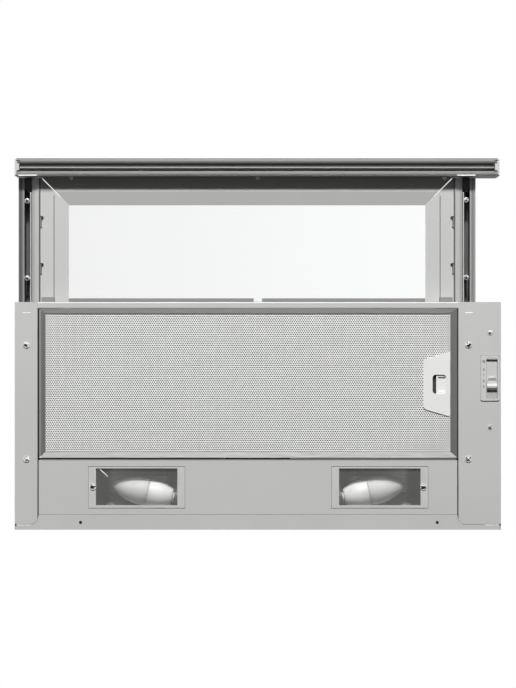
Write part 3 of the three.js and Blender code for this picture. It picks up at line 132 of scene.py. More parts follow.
def combine(tree, operation, first, second):
    """The product or the larger (MULTIPLY or MAXIMUM) of two levels."""
    both = tree.nodes.new("ShaderNodeMath")
    both.operation = operation
    tree.links.new(first, both.inputs[0])
    tree.links.new(second, both.inputs[1])
    return both.outputs[0]


def level_by_ray(tree, fill, mirrored, seen):
    """One level for light that falls on things, one for reflections, one for the camera."""
    path = tree.nodes.new("ShaderNodeLightPath")
    either = combine(tree, "MAXIMUM", path.outputs["Is Camera Ray"], path.outputs["Is Transmission Ray"])
    level = None
    for ray, above in ((path.outputs["Is Glossy Ray"], mirrored), (either, seen)):
        step = tree.nodes.new("ShaderNodeMix")
        step.inputs["A"].default_value = fill
        step.inputs["B"].default_value = above
        if level is not None:
            tree.links.new(level, step.inputs["A"])
        tree.links.new(ray, step.inputs["Factor"])
        level = step.outputs["Result"]
    return level


def make_floor():
    mesh = bmesh.new()
    bmesh.ops.create_grid(mesh, x_segments=1, y_segments=1, size=6)
    bmesh.ops.translate(mesh, verts=mesh.verts, vec=(0, 0, -FLOOR_DEPTH))
    material, tree, shader = new_material("pale_floor")
    tree.links.new(level_by_ray(tree, FLOOR_FILL, 0.9, 0.9), shader.inputs["Base Color"])
    shader.inputs["Roughness"].default_value = 0.9
    shader.inputs["Emission Color"].default_value = (1, 1, 1, 1)
    tree.links.new(level_by_ray(tree, 0, 0, FLOOR_SEEN), shader.inputs["Emission Strength"])
    keep(mesh, "floor", material)


def area_light(name, place, aim, size, power):
    data = bpy.data.lights.new(name, "AREA")
    data.shape = "DISK"
    data.size = size
    data.energy = power
    lamp = bpy.data.objects.new(name, data)
    lamp.location = place
    lamp.rotation_euler = (Vector(aim) - Vector(place)).to_track_quat("-Z", "Y").to_euler()
    lamp.visible_camera = False
    lamp.visible_transmission = False
    bpy.context.collection.objects.link(lamp)


def make_lights():
    centre = (0, -0.22, -0.03)
    area_light("key_below_front", (0, -4.45, -3.1), centre, 0.75, 455)
    area_light("fill_above", (-1.2, 1.0, 2.2), centre, 4.5, 32)
    area_light("fill_above_front", (1.4, -1.8, 1.8), centre, 4.5, 32)


# ---------------------------------------------------------------- mesh helpers

def keep(mesh, name, material, smooth=None):
    """Turns a bmesh into an object, with edges sharper than `smooth` degrees left sharp."""
    data = bpy.data.meshes.new(name)
    mesh.to_mesh(data)
    mesh.free()
    if smooth is not None:
        data.polygons.foreach_set("use_smooth", [True] * len(data.polygons))
        data.set_sharp_from_angle(angle=math.radians(smooth))
    piece = bpy.data.objects.new(name, data)
    if material is not None:
        data.materials.append(material)
    bpy.context.collection.objects.link(piece)
    return piece


def at(x, y, z):
    """A place given in millimetres."""
    return Vector((x, y, z)) * MM


def verts_of(geometry):
    return [item for item in geometry if isinstance(item, bmesh.types.BMVert)]


def absorb(mesh, part, place=None):
    """Moves a finished part into mesh."""
    if place is not None:
        part.transform(place)
    data = bpy.data.meshes.new("part")
    part.to_mesh(data)
    part.free()
    mesh.from_mesh(data)
    bpy.data.meshes.remove(data)


def add_block(mesh, corner, far_corner, rounding=0.0):
    """A box between two corners in millimetres, with its edges rounded."""
    first, last = at(*corner), at(*far_corner)
    part = bmesh.new()
    bmesh.ops.create_cube(part, size=1)
    bmesh.ops.scale(part, verts=part.verts, vec=last - first)
    bmesh.ops.translate(part, verts=part.verts, vec=(first + last) / 2)
    if rounding:
        bmesh.ops.bevel(part, geom=part.edges[:], offset=rounding * MM, segments=2, profile=0.5,
                        affect="EDGES", material=-1)
    bmesh.ops.recalc_face_normals(part, faces=part.faces)
    absorb(mesh, part)


def add_turned(mesh, profile, base, direction, steps=32):
    """Spins a profile of (radius, height) in millimetres about a line that leaves base."""
    part = bmesh.new()
    line = [part.verts.new((radius * MM, 0, height * MM)) for radius, height in profile]
    for start, end in zip(line, line[1:]):
        part.edges.new((start, end))
    bmesh.ops.spin(part, geom=part.verts[:] + part.edges[:], cent=(0, 0, 0), axis=(0, 0, 1),
                   angle=2 * math.pi, steps=steps, use_merge=True)
    bmesh.ops.remove_doubles(part, verts=part.verts, dist=0.000001)
    bmesh.ops.recalc_face_normals(part, faces=part.faces)
    turn = Vector((0, 0, 1)).rotation_difference(Vector(direction)).to_matrix().to_4x4()
    absorb(mesh, part, Matrix.Translation(base) @ turn)


def add_screw(mesh, base, radius, height, direction=(0, 0, -1), turn=0.0, crown=0.45):
    """A head with a cross recess, standing on base: domed, or dished where crown is negative."""
    part = bmesh.new()
    bmesh.ops.create_grid(part, x_segments=5, y_segments=5, size=1)
    steps = (-1, -0.55, -0.13, 0.13, 0.55, 1)
    highest = 0 if crown > 0 else 1
    for vert in part.verts:
        column, row = round((vert.co.x + 1) * 2.5), round((vert.co.y + 1) * 2.5)
        spot = Vector((steps[column], steps[row], 0))
        if {column, row} & {0, 5}:
            spot.normalize()
        fall = crown * (spot.length_squared - highest)
        vert.co = (spot.x * radius, spot.y * radius, height * (1 - fall))
    arm = 0.56 * radius
    slim = 0.14 * radius
    cross = [face for face in part.faces
             if min(map(abs, face.calc_center_median().xy)) < slim
             and max(map(abs, face.calc_center_median().xy)) < arm]
    rim = [edge for edge in part.edges if edge.is_boundary]
    sunk = bmesh.ops.extrude_face_region(part, geom=cross)["geom"]
    bmesh.ops.translate(part, vec=(0, 0, -0.4 * height), verts=verts_of(sunk))
    skirt = bmesh.ops.extrude_edge_only(part, edges=rim)["geom"]
    for vert in verts_of(skirt):
        vert.co.z = 0
    bmesh.ops.holes_fill(part, edges=[edge for edge in part.edges if edge.is_boundary], sides=0)
    bmesh.ops.recalc_face_normals(part, faces=part.faces)
    facing = Vector((0, 0, 1)).rotation_difference(Vector(direction)).to_matrix().to_4x4()
    spin = Matrix.Rotation(math.radians(turn), 4, "Z")
    absorb(mesh, part, Matrix.Translation(base) @ facing @ spin @ Matrix.Scale(MM, 4))


# ---------------------------------------------------------------- materials

def new_material(name):
    material = bpy.data.materials.new(name)
    material.use_nodes = True
    return material, material.node_tree, material.node_tree.nodes["Principled BSDF"]


def object_noise(tree, scale, detail=3.0, stretch=(1, 1, 1)):
    """Noise on object coordinates; stretch squeezes it along each axis."""
    place = tree.nodes.new("ShaderNodeTexCoord")
    mapping = tree.nodes.new("ShaderNodeMapping")
    mapping.inputs["Scale"].default_value = stretch
    noise = tree.nodes.new("ShaderNodeTexNoise")
    noise.inputs["Scale"].default_value = scale
    noise.inputs["Detail"].default_value = detail
    tree.links.new(place.outputs["Object"], mapping.inputs["Vector"])
    tree.links.new(mapping.outputs["Vector"], noise.inputs["Vector"])
    return noise.outputs["Fac"]


def vary_colour(tree, shader, noise, dark, light):
    ramp = tree.nodes.new("ShaderNodeValToRGB")
    ramp.color_ramp.elements[0].position = 0.3
    ramp.color_ramp.elements[0].color = (*dark, 1)
    ramp.color_ramp.elements[1].position = 0.7
    ramp.color_ramp.elements[1].color = (*light, 1)
    tree.links.new(noise, ramp.inputs["Fac"])
    tree.links.new(ramp.outputs["Color"], shader.inputs["Base Color"])


def vary_roughness(tree, shader, noise, smoothest, roughest):
    level = tree.nodes.new("ShaderNodeMapRange")
    level.inputs["From Min"].default_value = 0.3
    level.inputs["From Max"].default_value = 0.7
    level.inputs["To Min"].default_value = smoothest
    level.inputs["To Max"].default_value = roughest
    tree.links.new(noise, level.inputs["Value"])
    tree.links.new(level.outputs["Result"], shader.inputs["Roughness"])


def relief(tree, shader, noise, strength, depth):
    bump = tree.nodes.new("ShaderNodeBump")
    bump.inputs["Strength"].default_value = strength
    bump.inputs["Distance"].default_value = depth
    tree.links.new(noise, bump.inputs["Height"])
    tree.links.new(bump.outputs["Normal"], shader.inputs["Normal"])


def grey(level, tint=(1.0, 1.0, 0.985)):
    return tuple(level * part for part in tint)


def powder_coat(name, level):
    material, tree, shader = new_material(name)
    vary_colour(tree, shader, object_noise(tree, 9, 4), grey(level * 0.975), grey(level * 1.025))
    orange_peel = object_noise(tree, 900, 2)
    vary_roughness(tree, shader, object_noise(tree, 30, 3), 0.38, 0.46)
    relief(tree, shader, orange_peel, 0.25, 0.0002)
    return material


def drawn_metal(name, level, along, roughness, metallic=1.0):
    """Metal with fine marks along one axis (0 for X, 1 for Y, 2 for Z)."""
    material, tree, shader = new_material(name)
    shader.inputs["Metallic"].default_value = metallic
    stretch = [60, 60, 60]
    stretch[along] = 1.5
    marks = object_noise(tree, 25, 4, stretch)
    vary_colour(tree, shader, marks, grey(level * 0.93), grey(level * 1.05))
    vary_roughness(tree, shader, marks, roughness - 0.06, roughness + 0.08)
    relief(tree, shader, marks, 0.12, 0.0001)
    return material


def moulded(name, level, roughness):
    """Plastic or rubber with a fine grain."""
    material, tree, shader = new_material(name)
    vary_colour(tree, shader, object_noise(tree, 14, 3), grey(level * 0.96), grey(level * 1.04))
    vary_roughness(tree, shader, object_noise(tree, 60, 2), roughness - 0.04, roughness + 0.06)
    relief(tree, shader, object_noise(tree, 1400, 2), 0.2, 0.0001)
    return material


def object_axis(tree, axis, first, last):
    """0 to 1 between two places in millimetres along one axis of the hood."""
    place = tree.nodes.new("ShaderNodeTexCoord")
    split = tree.nodes.new("ShaderNodeSeparateXYZ")
    level = tree.nodes.new("ShaderNodeMapRange")
    level.inputs["From Min"].default_value = first * MM
    level.inputs["From Max"].default_value = last * MM
    tree.links.new(place.outputs["Object"], split.inputs[0])
    tree.links.new(split.outputs[axis], level.inputs["Value"])
    return level.outputs["Result"]


def blend_colours(tree, factor, first, second):
    """A colour between two, each a tuple or another node's output."""
    mix = tree.nodes.new("ShaderNodeMix")
    mix.data_type = "RGBA"
    tree.links.new(factor, mix.inputs["Factor"])
    for socket, colour in ((mix.inputs[6], first), (mix.inputs[7], second)):
        if isinstance(colour, tuple):
            socket.default_value = (*colour, 1)
        else:
            tree.links.new(colour, socket)
    return mix.outputs[2]


def stretch_of(tree, axis, first, last, fade):
    """1 between two places in millimetres along one axis, fading to 0 beyond them."""
    rising = object_axis(tree, axis, first - fade, first)
    falling = object_axis(tree, axis, last + fade, last)
    return combine(tree, "MULTIPLY", rising, falling)


def tint_where(material, factor, colour):
    """Goes over to another colour where factor rises to 1."""
    tree = material.node_tree
    base = tree.nodes["Principled BSDF"].inputs["Base Color"]
    tree.links.new(blend_colours(tree, factor, base.links[0].from_socket, colour), base)


def zinc_rail_painted_shade(name):
    """Zinc-plated strip with painted shade: darker over the outer wings and darkest along their
    middle, and darker on the inner wings towards their hems. Dark above the wings, in the groove."""
    material = drawn_metal(name, 0.5, 1, 0.45, 0.3)
    tree = material.node_tree
    outer_wings = ((OUTER_WING_LEFT, 0.27, 0.1), (OUTER_WING_RIGHT, 0.42, 0.22))
    # painted shade: each outer wing darkened, and darkest along its middle
    for (edge0, edge1), level, deepest_shade in outer_wings:
        tint_where(material, stretch_of(tree, 0, edge0, edge1, 1), grey(level))
        middle = (edge0 + edge1) / 2
        tint_where(material, stretch_of(tree, 0, middle - 0.8, middle + 0.8, 2.4), grey(deepest_shade))
    # painted shade on each inner wing, deepening towards its hem
    for middle, direction in ((groove_x[0], 1), (groove_x[1], -1)):
        hem_ward_shade = object_axis(tree, 0, middle + 9.5 * direction, middle + 2 * direction)
        inner_wing = object_axis(tree, 0, middle - 0.1 * direction, middle + 0.1 * direction)
        tint_where(material, combine(tree, "MULTIPLY", hem_ward_shade, inner_wing), grey(0.24))
    # darker from just above the wings upward, in the groove
    tint_where(material, object_axis(tree, 2, -26.9, -25.5), grey(0.1))
    return material


def frame_painted_light(name):
    """The filter frame's drawn aluminium, with painted light: paler, as a painted highlight, where a bevel
    faces the rear, and a strip of painted shade along the frame's left edge.
    """
    material = drawn_metal(name, 0.2, 0, 0.64)
    tree = material.node_tree
    # painted highlight on surfaces that face the rear
    place = tree.nodes.new("ShaderNodeTexCoord")
    split = tree.nodes.new("ShaderNodeSeparateXYZ")
    rear_facing_highlight = tree.nodes.new("ShaderNodeMapRange")
    rear_facing_highlight.inputs["From Min"].default_value = 0.1
    rear_facing_highlight.inputs["From Max"].default_value = 0.3
    tree.links.new(place.outputs["Normal"], split.inputs[0])
    tree.links.new(split.outputs[1], rear_facing_highlight.inputs["Value"])
    tint_where(material, rear_facing_highlight.outputs["Result"], grey(0.57))
    # painted shade along the frame's left edge
    rim = low("visor_rear_rail").x / MM
    tint_where(material, stretch_of(tree, 0, rim - 0.5, rim + 1.8, 0.3), grey(0.34))
    return material


def bar_painted_shade_and_highlight(name):
    """Anodised bar with painted shade up its front rounding towards the first rib, along its front edge and
    before its rear lip, and a painted highlight along the rear lip.
    """
    material = drawn_metal(name, 0.34, 0, 0.7, 0.45)
    tree = material.node_tree
    front = low("handle_bar").y / MM
    # painted shade from the front rounding back to the first rib
    rising = object_axis(tree, 1, front + 2.4, front + 7.6)
    falling = object_axis(tree, 1, front + 9.4, front + 8.4)
    tint_where(material, combine(tree, "MULTIPLY", rising, falling), grey(0.05))
    # painted shade at the front edge and before the rear lip; a painted highlight on the rear lip
    for start, end, level in ((0, 1.6, 0.16), (16.9, 19.9, 0.2), (19.9, 21.2, 0.95)):
        tint_where(material, stretch_of(tree, 1, front + start, front + end, 0.3), grey(level))
    return material


def knob_painted_shade(name):
    """Grey plastic with a strip of painted shade across the thumb ridge."""
    material = moulded(name, 0.53, 0.6)
    rear = high("switch_plate").y / MM - 14
    # painted shade across the thumb ridge
    thumb_shade = object_axis(material.node_tree, 1, rear, rear + 1)
    tint_where(material, thumb_shade, grey(0.4))
    return material


def trough_painted_light(name, centre):
    """Pressed steel with painted light along the front of the trough, and painted shade, nearly black, at
    both ends of the trough.
    """
    material = drawn_metal(name, 0.36, 0, 0.35, 0.55)
    tree = material.node_tree
    # painted light along the front of the trough
    tint_where(material, object_axis(tree, 1, -62, -68), grey(0.6))
    # painted shade at both ends of the trough
    left_end = object_axis(tree, 0, centre - 30, centre - 41)
    right_end = object_axis(tree, 0, centre + 33, centre + 43)
    tint_where(material, combine(tree, "MAXIMUM", left_end, right_end), grey(0.03))
    return material


def lit_through(material, weight, depth):
    """Lets light soak into a moulding, as opal glass and thin white plastic do."""
    shader = material.node_tree.nodes["Principled BSDF"]
    shader.inputs["Subsurface Weight"].default_value = weight
    shader.inputs["Subsurface Radius"].default_value = (1, 1, 1)
    shader.inputs["Subsurface Scale"].default_value = depth
    return material


def visor_pane(name):
    """Clear float glass, a little greyer towards the left."""
    material, tree, shader = new_material(name)
    shader.inputs["Transmission Weight"].default_value = 1
    shader.inputs["IOR"].default_value = 1.45
    across = object_axis(tree, 0, -240, 214)
    colour = blend_colours(tree, across, grey(0.9, (0.992, 1.0, 0.996)), grey(0.995, (0.99, 0.998, 1.0)))
    tree.links.new(colour, shader.inputs["Base Color"])
    vary_roughness(tree, shader, object_noise(tree, 5, 2), 0.0, 0.012)
    return material


def lens_plastic(name):
    """Clear moulded plastic that lets the daylight through to the bulb."""
    material, tree, shader = new_material(name)
    vary_colour(tree, shader, object_noise(tree, 30, 2), grey(0.55), grey(0.6))
    shader.inputs["Alpha"].default_value = 0.1
    vary_roughness(tree, shader, object_noise(tree, 50, 2), 0.05, 0.12)
    return material


def frosted_glass(name, level):
    material, tree, shader = new_material(name)
    vary_colour(tree, shader, object_noise(tree, 20, 3), grey(level * 0.95), grey(level * 1.04))
    shader.inputs["Roughness"].default_value = 0.62
    relief(tree, shader, object_noise(tree, 1500, 2), 0.15, 0.0001)
    return material


finishes = {
    "grey_paint": powder_coat("grey_paint", 0.52),
    "light_paint": powder_coat("light_paint", 0.77),
    "zinc_steel": drawn_metal("zinc_steel", 0.6, 1, 0.35),
    "bar_aluminium": drawn_metal("bar_aluminium", 0.34, 0, 0.7, 0.45),
    "filter_aluminium": drawn_metal("filter_aluminium", 0.3, 0, 0.64),
    "clear_glass": visor_pane("clear_glass"),
    "opal_glass": lit_through(frosted_glass("opal_glass", 0.66), 0.8, 0.03),
    "white_plastic": moulded("white_plastic", 0.86, 0.42),
    "grey_plastic": moulded("grey_plastic", 0.57, 0.42),
    "black_plastic": moulded("black_plastic", 0.03, 0.5),
}

screw_steel = drawn_metal("screw_steel", 0.78, 2, 0.35, 0.3)
dull_zinc = drawn_metal("dull_zinc", 0.6, 2, 0.6, 0.1)
# near-white, for the painted highlight at the left lens's corner
highlight_wire_white = drawn_metal("highlight_wire_white", 0.97, 0, 0.4, 0.1)
print_ink = moulded("print_ink", 0.05, 0.6)
mesh_metal = drawn_metal("mesh_metal", 0.98, 0, 0.5, 0.1)
# near-black, for painted shade in gaps and seams
gap_shade_dark = moulded("gap_shade_dark", 0.09, 0.55)
# lighter steel, a painted highlight on the rail hems
hem_highlight_steel = drawn_metal("hem_highlight_steel", 0.62, 1, 0.4, 0.2)
# near-white paint for painted highlights on edges and lips
painted_highlight_white = powder_coat("painted_highlight_white", 0.95)
gap_shadow = moulded("gap_shadow", 0.14, 0.7)
# near-black, for painted shade in bores, recesses and gaps
painted_shade_black = moulded("painted_shade_black", 0.004, 0.9)
collar_plastic = lit_through(moulded("collar_plastic", 0.84, 0.45), 0.6, 0.02)

own_finish = {
    "moving_rail_left": zinc_rail_painted_shade("zinc_rail_painted_shade"),
    "lamp_lens_left": lens_plastic("lens_plastic"),
    "lamp_trough_left": trough_painted_light("trough_steel_left", -149),
    "lamp_trough_right": trough_painted_light("trough_steel_right", 150),
    "lamp_cover_left": drawn_metal("cover_steel", 0.58, 1, 0.5, 0.2),
    # the filter wool behind the mesh is made near black
    "filter_wool": drawn_metal("dark_filter_wool", 0.04, 0, 0.5, 0.5),
    "filter_frame": frame_painted_light("frame_painted_light"),
    "handle_bar": bar_painted_shade_and_highlight("bar_painted_shade_and_highlight"),
    "switch_knob": knob_painted_shade("knob_painted_shade"),
    "blower_housing": drawn_metal("galvanised", 0.44, 0, 0.55, 0.5),
    "lamp_holder_left": moulded("holder_black", 0.03, 0.5),
    # painted shade: the visor's rear rail in a darker grey than the paint
    "visor_rear_rail": powder_coat("shaded_paint", 0.24),
    "switch_body": moulded("switch_grey", 0.3, 0.45),
}
for piece in ("moving_rail", "lamp_lens", "lamp_cover", "lamp_holder"):
    own_finish[f"{piece}_right"] = own_finish[f"{piece}_left"]

for subpart in frame["record"]["subparts"]:
    node = subpart["node"]
    for slot in nodes[node].material_slots:
        slot.material = own_finish.get(node, finishes[subpart["material_slot"]])


# ---------------------------------------------------------------- pieces

# Places in millimetres, read off the photograph.
FLANGE_SCREW_X = (-284.5, 259)
FLANGE_SCREW_Y = (-227.6, -87.2)
SWITCH_SCREWS = ((285.8, -242.5), (285.6, -126.2))
LAMP_SCREWS = ((-202.7, -53), (203.5, -52.8))
BAR_SCREW_X = (-230.7, 0, 230.7)
BAR_SCREW_Y = -434.4
RAIL_SCREWS = ((-285.8, -405.8), (-285.8, -310.2), (258, -407), (258, -311))
LANCED_SLOT_Y = ((-386.7, -371.9), (-328.6, -314.4))
DRAIN_SLOT_X = (-284.5, 259.4)
DRAIN_SLOT_Y = (-267.5, -266.3)
REAR_RIVET_X = (-218, 220.6)
REAR_RIVET_Y = -9
HIGHLIGHT_WIRE_ENDS = ((-195.8, -75.6, -40.1), (-184.6, -65, -38.6))
LEGEND_X = 277.7
LAMP_SYMBOL_Y = -206.9
SWITCH_FIGURES = (("0", -196.9), ("1", -190.1), ("2", -183), ("3", -175.8))

# Sheet and print, in millimetres.
PRINT_THICKNESS = 0.06
HOUSING_SHEET = 1.0
BRACKET_SHEET = 1.5
BRACKET_TAB = 14
COLLAR_FLANGE = 2.5
SEAM_WIDTH = 12
SEAM_HEIGHT = 0.8


def finish_piece(mesh, name, body, slot, material=None, smooth=None):
    piece = keep(mesh, name, material or finishes[slot], smooth)
    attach(piece, body)
    return piece


def screws(name, places, z, radius, height, crown):
    mesh = bmesh.new()
    for number, (x, y) in enumerate(places):
        add_screw(mesh, at(x, y, z), radius, height, turn=25 + 37 * number, crown=crown)
    finish_piece(mesh, name, "housing", "zinc_steel", dull_zinc, 30)


def make_screws():
    """Screws in the side flanges, beside the switch and in the lamp covers."""
    flange = [(x, y) for x in FLANGE_SCREW_X for y in FLANGE_SCREW_Y]
    screws("flange_screws", flange, tray_face, radius=4, height=0.9, crown=-0.35)
    screws("switch_screws", SWITCH_SCREWS, tray_face, radius=2.9, height=0.8, crown=0.3)
    cover_face = low("lamp_cover_left").z / MM
    screws("lamp_cover_screws", LAMP_SCREWS, cover_face, radius=4, height=0.8, crown=-0.3)
    # black discs of painted shade in the lamp cover screws' recesses
    recesses = bmesh.new()
    disc = [(0, 0), (1, 0), (1, 0.5), (0, 0.5)]
    for x, y in LAMP_SCREWS:
        add_turned(recesses, disc, at(x, y, cover_face - 0.9), (0, 0, 1), 24)
    finish_piece(recesses, "lamp_screw_recesses", "housing", "black_plastic", painted_shade_black)


def make_bar_screws():
    """Screws of the visor's front member, half hidden by the bar, which cuts them off."""
    facet = low("visor_frame_front").z / MM + 0.5
    bar_rear = high("handle_bar").y
    mesh = bmesh.new()
    for number, x in enumerate(BAR_SCREW_X):
        add_screw(mesh, at(x, BAR_SCREW_Y, facet), 2.9, 1.4, turn=40 * number)
    whole = mesh.verts[:] + mesh.edges[:] + mesh.faces[:]
    cut = bmesh.ops.bisect_plane(mesh, geom=whole, plane_co=(0, bar_rear + 0.0001, 0),
                                 plane_no=(0, -1, 0), clear_outer=True)["geom_cut"]
    rims = [item for item in cut if isinstance(item, bmesh.types.BMEdge)]
    bmesh.ops.holes_fill(mesh, edges=rims, sides=0)
    bmesh.ops.recalc_face_normals(mesh, faces=mesh.faces)
    finish_piece(mesh, "bar_screws", "visor", "zinc_steel", screw_steel, 30)


def make_rail_screws():
    """Shouldered screws that stand in the moving rails' grooves."""
    shoulder = low("moving_rail_left").z / MM + 4
    stem = high("moving_rail_left").z / MM - 1.1 - shoulder
    shank = [(0, 0), (1.7, 0), (1.7, 11), (2.4, 11.6), (2.4, stem), (0, stem)]
    mesh = bmesh.new()
    for number, (x, y) in enumerate(RAIL_SCREWS):
        add_screw(mesh, at(x, y, shoulder), 3.1, 0.9, turn=31 * number)
        add_turned(mesh, shank, at(x, y, shoulder), (0, 0, 1), 20)
    finish_piece(mesh, "rail_screws", "visor", "zinc_steel", screw_steel, 30)


def make_rail_hems():
    """The folded edges of the moving rails' inner wings, in a lighter steel as a painted highlight."""
    wing = low("moving_rail_left").z / MM
    front, rear = low("moving_rail_left").y / MM, high("moving_rail_left").y / MM
    mesh = bmesh.new()
    for x0, x1 in both_sides(groove_x[0] + 2.5, groove_x[0] + 3.9, visor_middle):
        add_block(mesh, (x0, front + 18, wing - 0.1), (x1, rear - 1, wing + 2), 0.5)
    finish_piece(mesh, "rail_hems", "visor", "zinc_steel", hem_highlight_steel)


def make_visor_gap_shades():
    """Painted shade: dark strips between the rails and the visor's side members and in the lanced
    slots beside them, along the fold line of each member and as fillers at the rear rail's corners."""
    face = low("visor_frame_left").z / MM
    front, rear = low("visor_frame_left").y / MM, low("side_channel_left").y / MM
    seals = bmesh.new()
    for x0, x1 in both_sides(-270.8, -269.0, visor_middle):
        add_block(seals, (x0, front + 1, face - 0.35), (x1, high("visor_rear_rail").y / MM, face + 2), 0.2)
    for x0, x1 in both_sides(-268.5, -267.4, visor_middle):
        tip0, tip1 = min(x0, 2 * x0 - x1), max(x1, 2 * x1 - x0)
        for start, end in LANCED_SLOT_Y:
            add_block(seals, (x0, start, face - 0.2), (x1, end, face + 1), 0.15)
            add_block(seals, (tip0, start, face - 0.2), (tip1, start + 1, face + 1), 0.15)
            add_block(seals, (tip0, end - 1, face - 0.2), (tip1, end, face + 1), 0.15)
    finish_piece(seals, "visor_gap_shades", "visor", "black_plastic", gap_shade_dark)
    folds = bmesh.new()
    for x0, x1 in both_sides(-252.6, -251.8, visor_middle):
        add_block(folds, (x0, -412, face - 0.12), (x1, rear - 6.5, face + 1), 0.1)
    for x0, x1 in both_sides(-253.6, -250.6, visor_middle):
        add_block(folds, (x0, rear - 6.3, face + 0.3), (x1, rear + 2, face + 3), 0.3)
    finish_piece(folds, "member_folds", "visor", "grey_paint", gap_shadow)


def make_lip_highlight():
    """A near-white bead along the bar's rear lip, a painted highlight for the lip's edge, and plates that
    join the bar to the rails, near-white so that their lower edges show as painted highlights.
    """
    corner, far_corner = low("handle_bar") / MM, high("handle_bar") / MM
    mesh = bmesh.new()
    length = far_corner.x - corner.x - 16
    add_turned(mesh, [(0, 0), (0.65, 0.3), (0.65, length - 0.3), (0, length)],
               at(corner.x + 8, far_corner.y - 1.8, corner.z + 1.9), (1, 0, 0), 16)
    plate_top = low("moving_rail_left").z / MM
    for x0, x1 in both_sides(-294.5, -271.8, visor_middle):
        add_block(mesh, (x0, far_corner.y - 0.95, corner.z + 0.5), (x1, far_corner.y - 0.15, plate_top), 0.1)
    finish_piece(mesh, "lip_highlight", "visor", "zinc_steel", painted_highlight_white, 40)


def make_flange_joints():
    """The rear ends of the side flanges, near-white as painted highlights, and the dark reliefs at their
    corners.
    """
    edges, reliefs = bmesh.new(), bmesh.new()
    for x0, x1 in both_sides(-296, -279, 0):
        add_block(edges, (x0, -6.3, tray_face - 0.1), (x1, -5.4, tray_face + 0.5), 0.15)
    for x0, x1 in both_sides(-298.6, -297, 0):
        add_block(reliefs, (x0, -7.6, tray_face - 0.05), (x1, -4.4, tray_face + 0.6), 0.1)
    finish_piece(edges, "flange_ends", "housing", "light_paint", painted_highlight_white)
    finish_piece(reliefs, "corner_reliefs", "housing", "black_plastic")


def make_cap_seam_shades():
    """Dark strips of painted shade in the parting lines round the bar's end caps."""
    mesh = bmesh.new()
    face, front = low("handle_cap_left").z / MM, low("handle_cap_left").y / MM
    bar_middle = (low("handle_bar").x + high("handle_bar").x) / 2 / MM
    for number, (x0, x1) in enumerate(both_sides(-293.6, -292.8, bar_middle)):
        tip0, tip1 = (x0 - 2.4, x1) if number == 0 else (x0, x1 + 2.4)
        add_block(mesh, (x0, front + 4.3, face - 0.1), (x1, front + 15.4, face + 0.6), 0.1)
        for y in (front + 4.3, front + 14.6):
            add_block(mesh, (tip0, y, face - 0.1), (tip1, y + 0.8, face + 0.6), 0.1)
    finish_piece(mesh, "cap_seam_shades", "visor", "black_plastic", gap_shade_dark)


def add_outline(mesh, box, wide, z0, z1, front_extra=0.0):
    """Four strips round a plate's edge, as lines of painted shade."""
    (x0, y0), (x1, y1) = box
    y_front = y0 - wide - front_extra
    add_block(mesh, (x0 - wide, y_front, z0), (x1 + wide, y0 + 0.4, z1))
    add_block(mesh, (x0 - wide, y1 - 0.4, z0), (x1 + wide, y1 + wide, z1))
    add_block(mesh, (x0 - wide, y0 + 0.4, z0), (x0 + 0.4, y1 - 0.4, z1))
    add_block(mesh, (x1 - 0.4, y0 + 0.4, z0), (x1 + wide, y1 - 0.4, z1))


def make_plate_shadow_lines():
    """Thin lines of painted shade round the lamp covers and the switch plate, wider where the covers'
    shadow falls at their fronts, and the lip at the front of the switch's slot."""
    mesh = bmesh.new()
    for side in ("left", "right"):
        corner, far_corner = low(f"lamp_cover_{side}") / MM, high(f"lamp_cover_{side}") / MM
        add_outline(mesh, (corner.xy, far_corner.xy), 0.45, tray_face - 0.2, tray_face, 0.4)
    corner, far_corner = low("switch_plate") / MM, high("switch_plate") / MM
    inset = Vector((0.2, 0.2))
    add_outline(mesh, (corner.xy + inset, far_corner.xy - inset), 0.5, tray_face - 0.25, tray_face)
    finish_piece(mesh, "plate_shadow_lines", "housing", "black_plastic", gap_shadow)
    lip = bmesh.new()
    slot_front = corner.y + 3
    add_block(lip, (corner.x + 7, slot_front, tray_face - 0.7),
              (far_corner.x - 2.2, slot_front + 1.6, tray_face + 1), 0.2)
    finish_piece(lip, "switch_slot_lip", "housing", "grey_plastic")


def make_bay_gap_shades():
    """Strips of painted shade in the gaps between the filter and its bay, at the sides and at the lamp
    panel, and a strip above the panel's gap that keeps daylight from the collar out of it."""
    mesh = bmesh.new()
    panel_front = low("lamp_panel").y / MM
    for x0, x1 in ((-270.95, -269.15), (245.35, 246.65)):
        add_block(mesh, (x0, -272, tray_face + 0.6), (x1, -19, tray_face + 3.5), 0.1)
    panel_top = high("lamp_panel").z / MM
    add_block(mesh, (-40, panel_front - 4, panel_top), (40, panel_front + 2, panel_top + 0.8), 0.2)
    finish_piece(mesh, "bay_gap_shades", "housing", "black_plastic", painted_shade_black)
    mesh = bmesh.new()
    rear = panel_front - 0.2
    for x0, x1, reach in ((-268, 40, 1.3), (40, 244, 2.1)):
        front = panel_front - reach
        add_block(mesh, (x0, front, tray_face + 0.3), (x1, rear, tray_face + 3), 0.3)
    finish_piece(mesh, "panel_gap_shade", "housing", "grey_paint", gap_shadow)


def make_groove_plugs():
    """Moulded stops in the front ends of the moving rails' grooves."""
    mesh = bmesh.new()
    wing = low("moving_rail_left").z / MM
    for x in groove_x:
        add_block(mesh, (x - 4.4, -433.8, wing + 0.8), (x + 4.4, -419, wing + 6), 0.5)
        add_block(mesh, (x - 2.6, -419.2, wing + 1.8), (x + 2.6, -416.5, wing + 5), 0.5)
        add_turned(mesh, [(0, 0), (1.8, 0), (1.8, 0.9), (1.1, 1.2), (0, 1.2)],
                   at(x, -426, wing + 0.85), (0, 0, -1), 16)
    finish_piece(mesh, "groove_plugs", "visor", "black_plastic", smooth=40)


